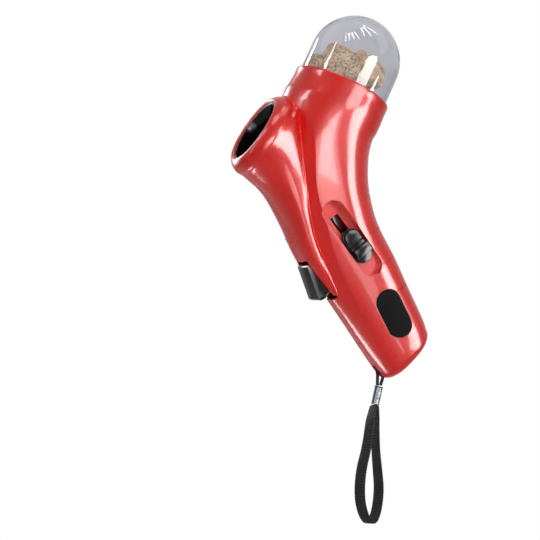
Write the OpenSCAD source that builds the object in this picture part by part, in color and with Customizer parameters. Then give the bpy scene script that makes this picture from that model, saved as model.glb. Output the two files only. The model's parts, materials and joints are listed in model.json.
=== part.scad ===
// Hand-held treat launcher: two moulded half shells round a spring plunger,
// with a clear hopper dome on top, a trigger in front and a wrist strap below.
//
// +Z is up as the launcher is held, the muzzle points to -X and up, and the side
// with the thumb slide is -Y. The origin is the centre of the grip.
// The casing is drawn in the handle frame: +Z along the handle towards the muzzle,
// +X towards the back of the handle. module held() leans it.
// The plunger leans a little further. module launched() leans it about the point
// where the launch, muzzle and hopper axes cross.

/* [Layout] */
// Lean of the handle from the vertical, in degrees
lean = 35; // [20:1:50]
// Extra lean of the launch axis, in degrees
launch_turn = 3.2; // [2:0.2:4]
// Height on the handle's axis where the launch, hopper and muzzle axes cross
junction_z = 70.5; // [68:0.5:74]
// Tilt of the hopper axis from the handle, in degrees
hopper_tilt = 60.5; // [56:0.5:64]
// Distance from the crossing to the hopper's rim
hopper_l = 61.8; // [60:0.1:66]
// Tilt of the muzzle axis from the handle, in degrees
muzzle_tilt = 6.5; // [4:0.5:9]
// Distance from the crossing to the middle of the mouth
muzzle_l = 40.8; // [39:0.1:44]
// Tilt of the mouth's plane from the handle, in degrees
mouth_tilt = 22.5; // [18:0.5:27]

/* [Casing] */
// Wall of the two half shells
wall = 2.2; // [1.8:0.1:2.6]
// Front-to-back depth of the handle at its tail
tail_depth = 38.2; // [36:0.2:42]
// Side-to-side width of the handle at its tail
tail_width = 37; // [35:0.2:41]
// Height of the tail's end on the handle's axis
tail_z = -50; // [-55:0.5:-48]
// Tilt of the tail's end face, in degrees
tail_tilt = 12; // [6:1:16]
// Edge radius of the tail's end
tail_round = 6; // [4:0.5:8]
// Front-to-back depth of the handle under the fingers
grip_depth = 42.6; // [41:0.2:46]
// Side-to-side width of the handle under the fingers
grip_width = 41; // [39:0.2:44]
// Front-to-back depth of the handle beside the slide
slide_depth = 49.2; // [48:0.2:52]
// Side-to-side width of the handle beside the slide
slide_width = 46; // [45:0.2:49]
// Front-to-back depth at the middle of the bend
bend_depth = 54.8; // [53:0.2:57]
// Side-to-side width at the middle of the bend
bend_width = 52.4; // [51:0.2:55]
// Depth of the shallow scoops down the handle's back
scoop_depth = 1.2; // [0.6:0.1:1.5]
// Distance between the ridges of those scoops
scoop_pitch = 18.4; // [16:0.2:20]

/* [Mouth] */
// Outer radius of the rounded lip
lip_r = 25.6; // [25:0.1:27]
// Radius of the mouth's face, inside the lip's rounding
face_r = 22.4; // [21.6:0.1:23.4]
// Bore radius of the muzzle liner
muzzle_r = 17.4; // [16.5:0.1:18]
// Wall of the muzzle liner
liner_wall = 1.2; // [1:0.1:1.6]

/* [Hopper] */
// Outer radius of the clear dome
dome_r = 26.5; // [25.5:0.1:27.5]
// Wall of the clear dome
dome_wall = 1.8; // [1.4:0.1:2.4]
// Height of the dome's straight part above the rim
dome_straight = 17.2; // [12:0.2:22]
// How deep the dome's skirt sits in the collar
skirt_l = 14.8; // [13:0.1:15]
// Bore radius of the funnel's throat
throat_r = 12.5; // [12:0.1:13]

/* [Plunger] */
// Bore radius of the breech tube
breech_r = 14.5; // [13.5:0.1:15]
// Wall of the breech tube
breech_wall = 1.5; // [1.2:0.1:1.8]
// Height of the breech tube's rear end on the launch axis
breech_z = 50; // [49.5:0.1:51]
// Radius of the plunger rod
rod_r = 3.5; // [3:0.1:4]
// Travel of the plunger from cocked to fired
stroke = 17; // [14:0.5:17]
// Height of the carriage's underside when cocked
carriage_z = 19; // [18:0.1:19.5]
// Height of the carriage
carriage_h = 12; // [11:0.1:12.5]
// Radius of the carriage's round body
carriage_r = 9; // [8:0.1:9.5]
// Thickness of the plunger's head
head_h = 5.5; // [4:0.1:6.5]
// Height of the spring seat's upper face
seat_z = -8; // [-10:0.5:-6]
// Mean radius of the main spring
spring_r = 6.8; // [6:0.1:7.4]
// Wire diameter of the main spring
spring_wire = 1.2; // [0.9:0.1:1.5]
// Turns of the main spring
spring_turns = 9; // [7:1:10]

/* [Slide] */
// Length of the stadium-shaped recess that the knob runs in
recess_l = 51; // [50:0.5:53]
// Width of that recess
recess_w = 12.8; // [12:0.1:14]
// Distance of the recess floor from the launch axis
floor_y = 17; // [16.6:0.1:17.4]
// Width of the slot in the recess floor
slot_w = 5.7; // [5:0.1:6.4]
// Length of the thumb knob
knob_l = 22; // [20:0.2:23]
// Width of the thumb knob
knob_w = 11; // [10:0.2:12]
// Height of the thumb knob's block
knob_h = 7.8; // [6:0.1:8.4]

/* [Trigger] */
// Side-to-side width of the trigger
trigger_w = 16; // [14:0.5:18]
// Length of the trigger's blade from its top to its tip
trigger_l = 21.6; // [20.6:0.2:22]
// Height of the trigger's pivot on the handle's axis
pivot_z = 28; // [27.5:0.1:28.5]
// Distance of the pivot in front of the handle's axis
pivot_x = 16; // [15.8:0.1:16.4]
// Radius of the trigger pin
pin_r = 1.5; // [1.2:0.05:1.7]
// Pull of the trigger, in degrees
pull = 8; // [6:0.5:8]

/* [Grip pads] */
// Length of the oval pads on the handle's sides
pad_l = 30; // [28:0.5:33]
// Width of the oval pads
pad_w = 15.4; // [13:0.2:17]
// Height of the pads' centre on the handle's axis
pad_z = -19.5; // [-21:0.5:-17]
// Turn of the pads against the handle's axis, in degrees
pad_turn = 6; // [0:1:8]

/* [Strap] */
// Radius of the lanyard pin
lanyard_r = 1.25; // [1:0.05:1.5]
// Diameter of the thin cord round the lanyard pin
cord_d = 2; // [1.6:0.1:2.2]
// Width of the flat wrist tape
tape_w = 6.6; // [6:0.1:7]
// Thickness of the flat wrist tape
tape_t = 1.3; // [1:0.1:1.5]

/* [Fits] */
// Gap round a part that slides or turns
run_gap = 0.08; // [0.05:0.01:0.1]
// Gap round a part that is seated
seat_gap = 0.05; // [0.02:0.01:0.1]

/* [Hidden] */

shell_red = "#d9262a";
part_black = "#1b1b1d";
inner_grey = "#b9bcc0";
steel = "#c8ccd2";

far = 200;
eps = 0.01;
bore_fn = 96;
blend_fn = 32;

// Radii that follow from the fits
collar_bore = dome_r + run_gap;
collar_r = collar_bore + wall - 0.08;
liner_r = muzzle_r + liner_wall;
breech_out = breech_r + breech_wall;
throat_out = throat_r + 1.5;

// Heights of the plunger's parts when cocked
carriage_top = carriage_z + carriage_h;
breech_floor = 2;
head_z = breech_z + breech_floor + 1;
head_front = head_z + head_h;
bumper_h = breech_z - carriage_top - stroke - 0.05;
seat_h = 4;
rod_tail = seat_z - seat_h - stroke - 4.5;
clip_h = 0.8;

// Where the liner starts, from the crossing
liner_start = 26;
liner_flange = 1.5;
breech_flange = 2;
flange_r = liner_r + 1;

// The slot, its stem and the recess, on the launch axis
stem_w = slot_w - 0.3;
stem_l = 8;
knob_z = carriage_z + 6.4;
slot_top = knob_z + stem_l / 2 + stroke + 0.3;
slot_bottom = knob_z - stem_l / 2 - 0.3;
recess_top = slot_top + 9.8;
recess_mid = recess_top - recess_l / 2;

// Points and directions of the mouth and rim, in the launch frame [x, z]
function dir(tilt) = [sin(tilt), cos(tilt)];
function across(tilt) = [cos(tilt), -sin(tilt)];
crossing = [0, junction_z];
mouth = crossing + muzzle_l * dir(-muzzle_tilt);
rim = crossing + hopper_l * dir(hopper_tilt);
tail_mid = [-3.4, tail_z];

// Places in the handle frame and in the frame of the finished part
module at_crossing(tilt) translate([0, 0, junction_z]) rotate([0, tilt, 0]) children();
module on_launch() at_crossing(-launch_turn) translate([0, 0, -junction_z]) children();
module held() rotate([0, -lean, 0]) children();
module launched() held() on_launch() children();
function held_point(p) = [p[0] * cos(lean) - p[1] * sin(lean), 0,
                          p[0] * sin(lean) + p[1] * cos(lean)];

// Interpolation along a list of rows
function cubic(a, b, c, d, t) =
    0.5 * ((2 * b) + (c - a) * t + (2 * a - 5 * b + 4 * c - d) * t * t
           + (3 * b - a - 3 * c + d) * t * t * t);
function row_at(rows, i, t) =
    cubic(rows[max(i - 1, 0)], rows[i], rows[i + 1],
          rows[min(i + 2, len(rows) - 1)], t);
function smoothed(rows, steps) =
    [for (i = [0:len(rows) - 2]) for (k = [0:steps - 1]) row_at(rows, i, k / steps),
     rows[len(rows) - 1]];

// A closed skin through rings of equal count
module skin(rings) {
    n = len(rings[0]);
    last = len(rings) - 1;
    polyhedron(
        points = [for (ring = rings) each ring],
        faces = [
            [for (j = [n - 1:-1:0]) j],
            for (i = [0:last - 1]) for (j = [0:n - 1])
                each [[i * n + j, i * n + (j + 1) % n, (i + 1) * n + j],
                      [(i + 1) * n + j, i * n + (j + 1) % n, (i + 1) * n + (j + 1) % n]],
            [for (j = [0:n - 1]) last * n + j]
        ],
        convexity = 8);
}

function power(v, n) = sign(v) * pow(abs(v), 2 / n);

// The main tube: handle, bend and hopper collar.
// Its centre line is straight up to bend_start, an arc of bend_r, then straight again.
bend_reach = 45.5;
bend_start = junction_z - bend_reach;
bend_r = bend_reach / tan(hopper_tilt / 2);
collar_straight = hopper_l - bend_reach;
outer_steps = 14;
inner_steps = 10;
shell_fn = 48;
boss_fn = 16;

// A row is [centre x, centre z, tilt, half depth, half width, edge place, edge fall,
// side fall]. The sides fall in towards the front, faster in front of the edge.
function bend_row(tilt, front, back, width, edge, edge_fall, fall) =
    let (e = across(tilt), d = (back - front) / 2)
    [bend_r * (1 - cos(tilt)) + d * e[0], bend_start + bend_r * sin(tilt) + d * e[1], tilt,
     (front + back) / 2, width / 2, edge, edge_fall, fall];
function collar_row(back, radius, bulge, edge, edge_fall) =
    let (p = rim - back * dir(hopper_tilt) - bulge / 2 * across(hopper_tilt))
    [p[0], p[1], hopper_tilt, radius + bulge / 2, radius, edge, edge_fall, 0];
function tail_row(up) =
    let (inset = tail_round - sqrt(max(tail_round * tail_round
                 - (tail_round - up) * (tail_round - up), 0)))
    [tail_mid[0], tail_z + up, -tail_tilt, tail_depth / 2 - inset,
     tail_width / 2 - inset, -0.7, 0.1, 0.08];

tube_rows = [
    tail_row(0), tail_row(0.4), tail_row(1.6), tail_row(3.4), tail_row(tail_round),
    [-2.9, -36, -6, (2 * tail_depth + grip_depth) / 6, (2 * tail_width + grip_width) / 6,
     -0.7, 0.14, 0.1],
    [-1.6, -14, 0, grip_depth / 2, grip_width / 2, -0.68, 0.2, 0.14],
    [-0.4, 5, 0, (grip_depth + slide_depth) / 4, (grip_width + slide_width) / 4,
     -0.6, 0.26, 0.18],
    [0, bend_start, 0, slide_depth / 2, slide_width / 2, -0.48, 0.33, 0.22],
    bend_row(13, (slide_depth + bend_depth) / 4 + 0.4, (slide_depth + bend_depth) / 4 + 0.4,
             (slide_width + bend_width) / 2, -0.37, 0.36, 0.22),
    bend_row(28, bend_depth / 2, bend_depth / 2, bend_width, -0.36, 0.36, 0.2),
    bend_row(43, bend_depth / 2 + 0.4, bend_depth / 2 + 0.2,
             (bend_width + 2 * collar_r) / 2, -0.43, 0.34, 0.13),
    bend_row(54, bend_depth / 2 + 3, bend_depth / 2 + 0.4, 2 * collar_r - 0.8,
             -0.62, 0.26, 0.05),
    collar_row(collar_straight, collar_r + 0.1, 2, -0.74, 0.2),
    collar_row(collar_straight * 0.7, collar_r + 0.2, 0.3, -0.82, 0.1),
    collar_row(collar_straight * 0.3, collar_r, 0, -0.92, 0),
    collar_row(0.8, collar_r, 0, -0.95, 0),
    collar_row(0, collar_r - 0.7, 0, -0.95, 0)
];

// The sides are flattened along the handle and round at the collar
function bow_at(row) = 2 + 0.5 * (1 - pow(max(row[2], 0) / hopper_tilt, 2));
widest = 0.3;

// Half outline from the back (k = 0) over the side to the front (k = n)
function tube_side(row, inset, k, n) =
    let (a = row[3] - inset, b = row[4] - inset, bow = bow_at(row),
         turn = acos(-pow(-row[5], bow / 2)), split = round(n * 0.6),
         ang = k <= split ? turn * k / split : turn + (180 - turn) * (k - split) / (n - split),
         x = power(cos(ang), bow),
         side_fall = 1 - row[7] * max(0, widest - x),
         edge_fall = 1 - row[6] * max(0, row[5] - x) / (1 + row[5]))
    [a * x, b * power(sin(ang), bow) * side_fall * edge_fall];

function tube_ring(row, inset, n) =
    let (e = across(row[2]))
    [for (k = [0:2 * n - 1])
        let (side = k < n ? -1 : 1, h = tube_side(row, inset, k < n ? k : 2 * n - k, n))
        [row[0] + e[0] * h[0], side * h[1], row[1] + e[1] * h[0]]];

module tube_skin(inset, from, to, steps) {
    rows = smoothed([for (i = [from:to]) tube_rows[i]], 2);
    skin([for (row = rows) tube_ring(row, inset, steps)]);
}

// The nose: from the mouth's lip down the front of the handle, where it fades.
// A row is [front x, front z, back x, back z, half width, bulge place, back bow]
function mouth_row(out, r, width) =
    let (c = mouth + out * dir(-mouth_tilt), e = across(-mouth_tilt))
    [c[0] - r * e[0], c[1] - r * e[1], c[0] + r * e[0], c[1] + r * e[1], width, 0.5, 2];

nose_rows = [
    mouth_row(0.2, liner_r + 1, liner_r + 1),
    mouth_row(0.8, (liner_r + face_r) / 2, (liner_r + face_r) / 2),
    mouth_row(0, face_r - 0.2, face_r - 0.2),
    mouth_row(-2.6, lip_r - 1.2, lip_r - 1.4),
    mouth_row(-6.8, lip_r - 0.1, lip_r - 0.8),
    [-23.8, 89, 21.6, 110.2, lip_r - 2.2, 0.5, 2.6],
    [-21.4, 81.5, 12.6, 96.2, 21.4, 0.56, 3.4],
    [-20.4, 74, 3.8, 81, 19.8, 0.6, 4.4],
    [-20.8, 64, -4, 66.4, 18.8, 0.64, 5],
    [-22, 53, -10.6, 52.6, 17, 0.66, 5],
    [-23.6, 41.5, -14.6, 39.6, 15.4, 0.66, 4.6],
    [-24.6, 27, -17.2, 23.6, 13, 0.66, 4],
    [-23, 10, -18.2, 6, 9, 0.66, 3]
];

// Inside, the nose reaches further back so that it opens into the tube
function nose_reach(row, inset) =
    inset > 0 ? 7 * min(1, max(0, (junction_z + 10 - row[1]) / 12)) : 0;

function nose_side(row, inset, k, n) =
    let (depth = norm([row[2] - row[0], row[3] - row[1]]) - 2 * inset + nose_reach(row, inset),
         front = depth * row[5], back = depth - front, w = row[4] - inset,
         ang = 180 * k / n)
    k <= n / 2 ? [front + back * power(cos(ang), row[6]), w * power(sin(ang), row[6])]
               : [front + front * power(cos(ang), 2.1), w * power(sin(ang), 2.1)];

function nose_ring(row, inset, n) =
    let (d = [row[2] - row[0], row[3] - row[1]], e = d / norm(d),
         f = [row[0], row[1]] + inset * e)
    [for (k = [0:2 * n - 1])
        let (side = k < n ? -1 : 1, h = nose_side(row, inset, k < n ? k : 2 * n - k, n))
        [f[0] + e[0] * h[0], side * h[1], f[1] + e[1] * h[0]]];

module nose_skin(inset, from, to, steps) {
    rows = smoothed([for (i = [from:to]) nose_rows[i]], 2);
    skin([for (i = [len(rows) - 1:-1:0]) nose_ring(rows[i], inset, steps)]);
}

// Stadium-shaped bar along Z, standing from y1 to y2
module stadium(length, width, y1, y2, fn = blend_fn) {
    hull() for (s = [-1, 1])
        translate([0, y1, s * (length - width) / 2]) rotate([-90, 0, 0])
            cylinder(h = y2 - y1, d = width, $fn = fn);
}

// Screw places in the handle frame [x, z]: the last two stand beside the funnel
function beside_funnel(down, out) = rim - down * dir(hopper_tilt) + out * across(hopper_tilt);
screw_spots = [[-0.34 * tail_depth, 0.6 * tail_z], [0.262 * tail_depth, 0.84 * tail_z],
               [0.438 * bend_depth, 0.567 * junction_z],
               [-0.339 * bend_depth, 0.657 * junction_z],
               beside_funnel(25.9, dome_r - 1.6), beside_funnel(27.4, 2.3 - dome_r)];
screw_boss_r = 2.5;
screw_r = 1.2;
screw_head_r = 2.4;
screw_from = -9;
screw_to = 12;

lanyard_at = [3.1 - tail_depth / 2, tail_z + 9.5];
lanyard_l = 26;
pivot_at = [-pivot_x, pivot_z];
return_spring = [-pivot_x - 7.4, pivot_z - 14.5];
post_x = 3 - pivot_x;
window_z = [pivot_z - 0.949 * trigger_l, pivot_z + 0.162 * trigger_l];

// What the two shells share: the outer form less its hollow, with ribs and bosses.
// Ribs and bosses end in the middle of the wall.
module outer_form() {
    tube_skin(0, 0, len(tube_rows) - 1, outer_steps);
    nose_skin(0, 0, len(nose_rows) - 1, outer_steps);
}

module middle_form() {
    tube_skin(wall / 2, 3, len(tube_rows) - 2, inner_steps);
    nose_skin(wall / 2, 3, len(nose_rows) - 1, inner_steps);
}

module hollow() {
    tube_skin(wall, 4, len(tube_rows) - 2, inner_steps);
    nose_skin(wall, 4, len(nose_rows) - 1, inner_steps);
    at_crossing(hopper_tilt) translate([0, 0, hopper_l - skirt_l - 1.5])
        cylinder(h = skirt_l + 3, r = collar_bore, $fn = shell_fn);
}

// A slab from wall to wall between two heights, with a round hole
module bulkhead(z1, z2, hole) {
    difference() {
        translate([-far / 2, -far / 2, z1]) cube([far, far, z2 - z1]);
        translate([0, 0, z1 - 1]) cylinder(h = z2 - z1 + 2, r = hole, $fn = shell_fn);
    }
}

module inner_ribs() {
    on_launch() {
        // Round the spring seat and under the breech tube
        bulkhead(seat_z - seat_h - 2, seat_z + 1.9, 11);
        bulkhead(breech_z - 1.9, breech_z + 2.4, breech_out - 2);
    }
    // Round the muzzle liner's flange
    at_crossing(-muzzle_tilt) translate([0, 0, liner_start + 0.4])
        cylinder(h = 3, r = flange_r + 8, $fn = shell_fn);
}

module bosses() {
    for (p = screw_spots) hull() {
        translate([p[0], 0, p[1]]) rotate([90, 0, 0])
            cylinder(h = grip_width + 3, r = screw_boss_r, center = true, $fn = boss_fn);
        translate([p[0], 0, p[1]]) rotate([90, 0, 0])
            cylinder(h = bend_width + 7.6, r = screw_boss_r + 0.6, center = true,
                     $fn = boss_fn);
    }
    // Bearings of the trigger pin
    for (s = [-1, 1]) translate([pivot_at[0], s * (trigger_w / 2 + 0.3), pivot_at[1]])
        rotate([-90 * s, 0, 0]) cylinder(h = 20, r = 3, $fn = boss_fn);
    // Bearings of the lanyard pin
    for (s = [-1, 1]) translate([lanyard_at[0], s * 4, lanyard_at[1]])
        rotate([-90 * s, 0, 0]) cylinder(h = 20, r = 2.8, $fn = boss_fn);
}

// Room that the ribs and bosses leave for moving parts and the funnel
module pockets() {
    on_launch() {
        translate([0, 0, carriage_z - 1])
            cylinder(h = carriage_h + stroke + 2, r = carriage_r + 1, $fn = shell_fn);
        translate([-lug_reach - 1, -lug_w / 2 - 1, carriage_z])
            cube([lug_reach, lug_w + 2, carriage_h + stroke + 1]);
        seat_plate(seat_gap);
    }
    at_crossing(hopper_tilt) {
        cylinder(h = 40, r = throat_out + seat_gap, $fn = shell_fn);
        funnel_outside(seat_gap);
        translate([0, 0, funnel_top - 0.5])
            cylinder(h = skirt_l + 3, r = collar_bore, $fn = shell_fn);
    }
    translate([-far, -trigger_w / 2 - 0.3, window_z[0] - 5.3])
        cube([far, trigger_w + 0.6, window_z[1] - window_z[0] + 16]);
}

// Bores for the round parts that the shells hold
module seats() {
    // Liner and its flange
    at_crossing(-muzzle_tilt) translate([0, 0, liner_start - breech_flange - 0.5]) {
        cylinder(h = 60, r = liner_r + seat_gap, $fn = shell_fn);
        cylinder(h = breech_flange + liner_flange + 0.5 + seat_gap,
                 r = flange_r + seat_gap, $fn = shell_fn);
    }
    // Breech tube
    on_launch() translate([0, 0, breech_z - seat_gap])
        cylinder(h = 42, r = breech_out + seat_gap, $fn = shell_fn);
    // Screws and their heads
    for (p = screw_spots) translate([p[0], 0, p[1]]) rotate([-90, 0, 0]) {
        translate([0, 0, screw_from - 1])
            cylinder(h = 22, r = screw_r + 0.1, $fn = boss_fn);
        translate([0, 0, screw_to]) cylinder(h = 30, r = screw_head_r + 0.3, $fn = boss_fn);
    }
    // Pins
    translate([pivot_at[0], 0, pivot_at[1]]) rotate([90, 0, 0])
        cylinder(h = 2 * trigger_pin_reach, r = pin_r + 0.1, center = true, $fn = boss_fn);
    translate([lanyard_at[0], 0, lanyard_at[1]]) rotate([90, 0, 0])
        cylinder(h = lanyard_l + 0.2, r = lanyard_r + 0.1, center = true, $fn = boss_fn);
}
trigger_pin_reach = trigger_w / 2 + 5.5;

// The strap's way out of the tail
module strap_way() {
    translate([lanyard_at[0], 0, lanyard_at[1]]) rotate([0, lean, 0]) hull() {
        for (s = [-1, 1]) translate([s * 2.4, 0, 2.6]) rotate([180, 0, 0])
            cylinder(h = 30, r = 2.3, $fn = boss_fn);
    }
}

// Shallow scoops down the back, each cut by a drum that lies across it
back_line = [for (row = smoothed([for (i = [4:12]) tube_rows[i]], 2))
    let (e = across(row[2])) [row[1] + row[3] * e[1], row[0] + row[3] * e[0]]];
function back_at(z) = [lookup(z, back_line), z];
module back_scoops() {
    drum = scoop_pitch * scoop_pitch / (8 * scoop_depth);
    for (i = [0:3]) {
        upper = back_at(scoop_top - i * scoop_pitch);
        lower = back_at(scoop_top - (i + 1) * scoop_pitch);
        run = (upper - lower) / norm(upper - lower);
        c = (upper + lower) / 2 + (drum - scoop_depth) * [run[1], -run[0]];
        translate([c[0], 0, c[1]]) rotate([90, 0, 0])
            cylinder(h = 80, r = drum, center = true, $fn = 120);
    }
}
scoop_top = 43.5;

module trigger_window() {
    hull() for (z = window_z) for (s = [-1, 1])
        translate([pivot_at[0] + 2.5 - far, s * (trigger_w / 2 - 1.5), z]) rotate([0, 90, 0])
            cylinder(h = far, r = 2, $fn = blend_fn);
}

module on_pad() translate([-0.6, 0, pad_z]) rotate([0, pad_turn, 0]) children();
module pad_bed(side, y1, y2) {
    on_pad() scale([1, side, 1]) stadium(pad_l, pad_w, y1, y2);
}
pad_y = 16.4;

module casing() {
    difference() {
        union() {
            difference() {
                outer_form();
                hollow();
            }
            intersection() {
                middle_form();
                difference() {
                    union() {
                        inner_ribs();
                        bosses();
                    }
                    pockets();
                }
            }
            // Floors under the slide and the pads
            intersection() {
                middle_form();
                union() {
                    on_launch() translate([0, 0, recess_mid])
                        stadium(recess_l + 4, recess_w + 4, -bend_width, -floor_y + 1.8);
                    for (s = [-1, 1]) pad_bed(s, pad_y - wall, pad_y + 6);
                    // Post that backs the trigger spring
                    translate([post_x, -far / 2, return_spring[1] - 4.5]) cube([2, far, 9]);
                }
            }
        }
        seats();
        // Recess and slot of the thumb slide
        on_launch() {
            translate([0, 0, recess_mid]) stadium(recess_l, recess_w, -bend_width, -floor_y);
            translate([-slot_w / 2, -30, slot_bottom])
                cube([slot_w, 20, slot_top - slot_bottom]);
        }
        for (s = [-1, 1]) pad_bed(s, pad_y, pad_y + 10);
        trigger_window();
        back_scoops();
        strap_way();
    }
}

module left_shell() {
    color(shell_red) held() intersection() {
        casing();
        translate([-far, -2 * far, -far]) cube(2 * far);
    }
}

module right_shell() {
    color(shell_red) held() intersection() {
        casing();
        translate([-far, 0, -far]) cube(2 * far);
    }
}

// Black tube in the mouth, cut flush with the lip
module muzzle_liner() {
    color(part_black) held() difference() {
        at_crossing(-muzzle_tilt) difference() {
            union() {
                translate([0, 0, liner_start]) cylinder(h = 40, r = liner_r, $fn = bore_fn);
                translate([0, 0, liner_start])
                    cylinder(h = liner_flange, r = flange_r, $fn = bore_fn);
            }
            translate([0, 0, liner_start - 1]) cylinder(h = 60, r = muzzle_r, $fn = bore_fn);
        }
        translate([mouth[0], 0, mouth[1]]) rotate([0, -mouth_tilt, 0])
            translate([-far / 2, -far / 2, -0.3]) cube(far);
    }
}

// Clear dome with a straight skirt that pushes into the collar
module hopper_dome() {
    top = hopper_l + dome_straight;
    bottom = hopper_l - skirt_l;
    color("#e9eef2", 0.4) held() at_crossing(hopper_tilt) difference() {
        union() {
            translate([0, 0, bottom]) cylinder(h = top - bottom, r = dome_r, $fn = bore_fn);
            translate([0, 0, top]) sphere(r = dome_r, $fn = bore_fn);
        }
        translate([0, 0, bottom - 1])
            cylinder(h = top - bottom + 1, r = dome_r - dome_wall, $fn = bore_fn);
        translate([0, 0, top]) sphere(r = dome_r - dome_wall, $fn = bore_fn);
    }
}

seal_h = 1.4;
funnel_top = hopper_l - skirt_l - 0.1 - seal_h;

// Flat rubber ring under the dome's skirt
module dome_seal() {
    color(part_black) held() at_crossing(hopper_tilt) translate([0, 0, funnel_top])
        difference() {
            cylinder(h = seal_h, r = dome_r - 0.1, $fn = bore_fn);
            translate([0, 0, -1])
                cylinder(h = seal_h + 2, r = dome_r - dome_wall - 0.6, $fn = bore_fn);
        }
}

// Outer form of the funnel, from the throat up to its seat in the collar
funnel_r = dome_r - 0.9;
module funnel_outside(gap) {
    translate([0, 0, 23]) cylinder(h = funnel_top - 26.2, r1 = throat_out + gap,
                                   r2 = funnel_r + gap, $fn = bore_fn);
    translate([0, 0, funnel_top - 3.2]) cylinder(h = 3.2, r = funnel_r + gap, $fn = bore_fn);
}

// Funnel that leads treats from the dome to the breech
module hopper_funnel() {
    color(inner_grey) held() difference() {
        at_crossing(hopper_tilt) difference() {
            union() {
                funnel_outside(0);
                cylinder(h = 24, r = throat_out, $fn = bore_fn);
            }
            translate([0, 0, -1]) cylinder(h = 40, r = throat_r, $fn = bore_fn);
            translate([0, 0, 24.5]) cylinder(h = funnel_top - 24.4, r1 = throat_r,
                                             r2 = funnel_r - 1.5, $fn = bore_fn);
        }
        on_launch() {
            cylinder(h = far, r = breech_out + seat_gap, $fn = bore_fn);
            translate([-far, -far, 0]) cube([far, 2 * far, far]);
        }
        // Room for the flanges of the breech tube and the muzzle liner
        at_crossing(-muzzle_tilt) translate([0, 0, liner_start - breech_flange - seat_gap])
            cylinder(h = breech_flange + liner_flange + 2 * seat_gap, r = flange_r + seat_gap,
                     $fn = bore_fn);
    }
}

// Tube that the plunger's head runs in, with a port under the funnel and a flange
// that meets the muzzle liner
module breech_tube() {
    color(inner_grey) held() difference() {
        union() {
            on_launch() translate([0, 0, breech_z]) cylinder(h = 60, r = breech_out, $fn = bore_fn);
            at_crossing(-muzzle_tilt) translate([0, 0, liner_start - breech_flange])
                cylinder(h = breech_flange, r = liner_r, $fn = bore_fn);
        }
        on_launch() {
            translate([0, 0, breech_z + breech_floor])
                cylinder(h = 60, r = breech_r, $fn = bore_fn);
            translate([0, 0, breech_z - 1])
                cylinder(h = breech_floor + 2, r = rod_r + run_gap, $fn = bore_fn);
        }
        at_crossing(hopper_tilt) cylinder(h = 40, r = throat_r, $fn = bore_fn);
        at_crossing(-muzzle_tilt) translate([-far / 2, -far / 2, liner_start]) cube(far);
    }
}

// Rubber washer that stops the carriage at the end of its stroke
module bumper_ring() {
    color(part_black) launched() translate([0, 0, breech_z - bumper_h]) difference() {
        cylinder(h = bumper_h, r = 8, $fn = bore_fn);
        translate([0, 0, -1]) cylinder(h = bumper_h + 2, r = rod_r + 0.4, $fn = bore_fn);
    }
}

module plunger_head() {
    dish_r = 40;
    dish = 1.2;
    color(part_black) launched() translate([0, 0, head_z]) difference() {
        cylinder(h = head_h, r = breech_r - run_gap, $fn = bore_fn);
        translate([0, 0, head_h - dish + dish_r]) sphere(r = dish_r, $fn = bore_fn);
        translate([0, 0, -1]) cylinder(h = 3.6, r = rod_r, $fn = bore_fn);
        // Hollow behind the rim, as moulded
        translate([0, 0, -1]) difference() {
            cylinder(h = head_h - 2.2, r = breech_r - 1.8, $fn = bore_fn);
            cylinder(h = head_h, r = rod_r + 2, $fn = bore_fn);
        }
    }
}

module plunger_rod() {
    groove = 0.9;
    color(steel) launched() difference() {
        translate([0, 0, rod_tail]) cylinder(h = head_z + 2.6 - rod_tail, r = rod_r, $fn = bore_fn);
        translate([0, 0, rod_tail + 1.5]) difference() {
            cylinder(h = clip_h + 0.1, r = rod_r + 1, $fn = bore_fn);
            translate([0, 0, -1]) cylinder(h = clip_h + 2, r = rod_r - groove, $fn = bore_fn);
        }
    }
}

// Open retaining clip in the groove at the rod's tail
module rod_clip() {
    color(steel) launched() translate([0, 0, rod_tail + 1.55]) difference() {
        cylinder(h = clip_h, r = rod_r + 2.2, $fn = bore_fn);
        translate([0, 0, -1]) cylinder(h = clip_h + 2, r = rod_r - 0.88, $fn = bore_fn);
        translate([-1.9, 0, -1]) cube([3.8, 10, clip_h + 2]);
    }
}

lug_w = trigger_w / 2;
lug_reach = pivot_x - 2.4;
screw_y = floor_y + 2.5;

// Sliding block that joins the rod, the knob and the catch
module carriage() {
    color(part_black) launched() difference() {
        union() {
            translate([0, 0, carriage_z]) cylinder(h = carriage_h, r = carriage_r, $fn = bore_fn);
            translate([-lug_reach, -lug_w / 2, carriage_top - 4])
                cube([lug_reach - carriage_r + 2, lug_w, 4]);
            translate([-stem_w / 2, -floor_y - 0.1, knob_z - stem_l / 2])
                cube([stem_w, floor_y - 4, stem_l]);
        }
        translate([0, 0, carriage_z - 1]) cylinder(h = carriage_h + 2, r = rod_r, $fn = bore_fn);
        translate([0, 0, knob_z]) rotate([90, 0, 0]) {
            cylinder(h = far, r = screw_r + 0.05, $fn = blend_fn);
            cylinder(h = 7.2, r = screw_head_r + 0.15, $fn = blend_fn);
        }
    }
}

module knob_screw() {
    color(steel) launched() translate([0, 0, knob_z]) rotate([90, 0, 0]) difference() {
        union() {
            translate([0, 0, 7.2]) cylinder(h = screw_y - 7.2, r = screw_r, $fn = blend_fn);
            translate([0, 0, 5.2]) cylinder(h = 2, r = screw_head_r, $fn = blend_fn);
        }
        // Cross recess
        for (a = [0, 90]) rotate([0, 0, a])
            translate([-1.4, -0.3, 5.2 - eps]) cube([2.8, 0.6, 1.2]);
    }
}

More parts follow.
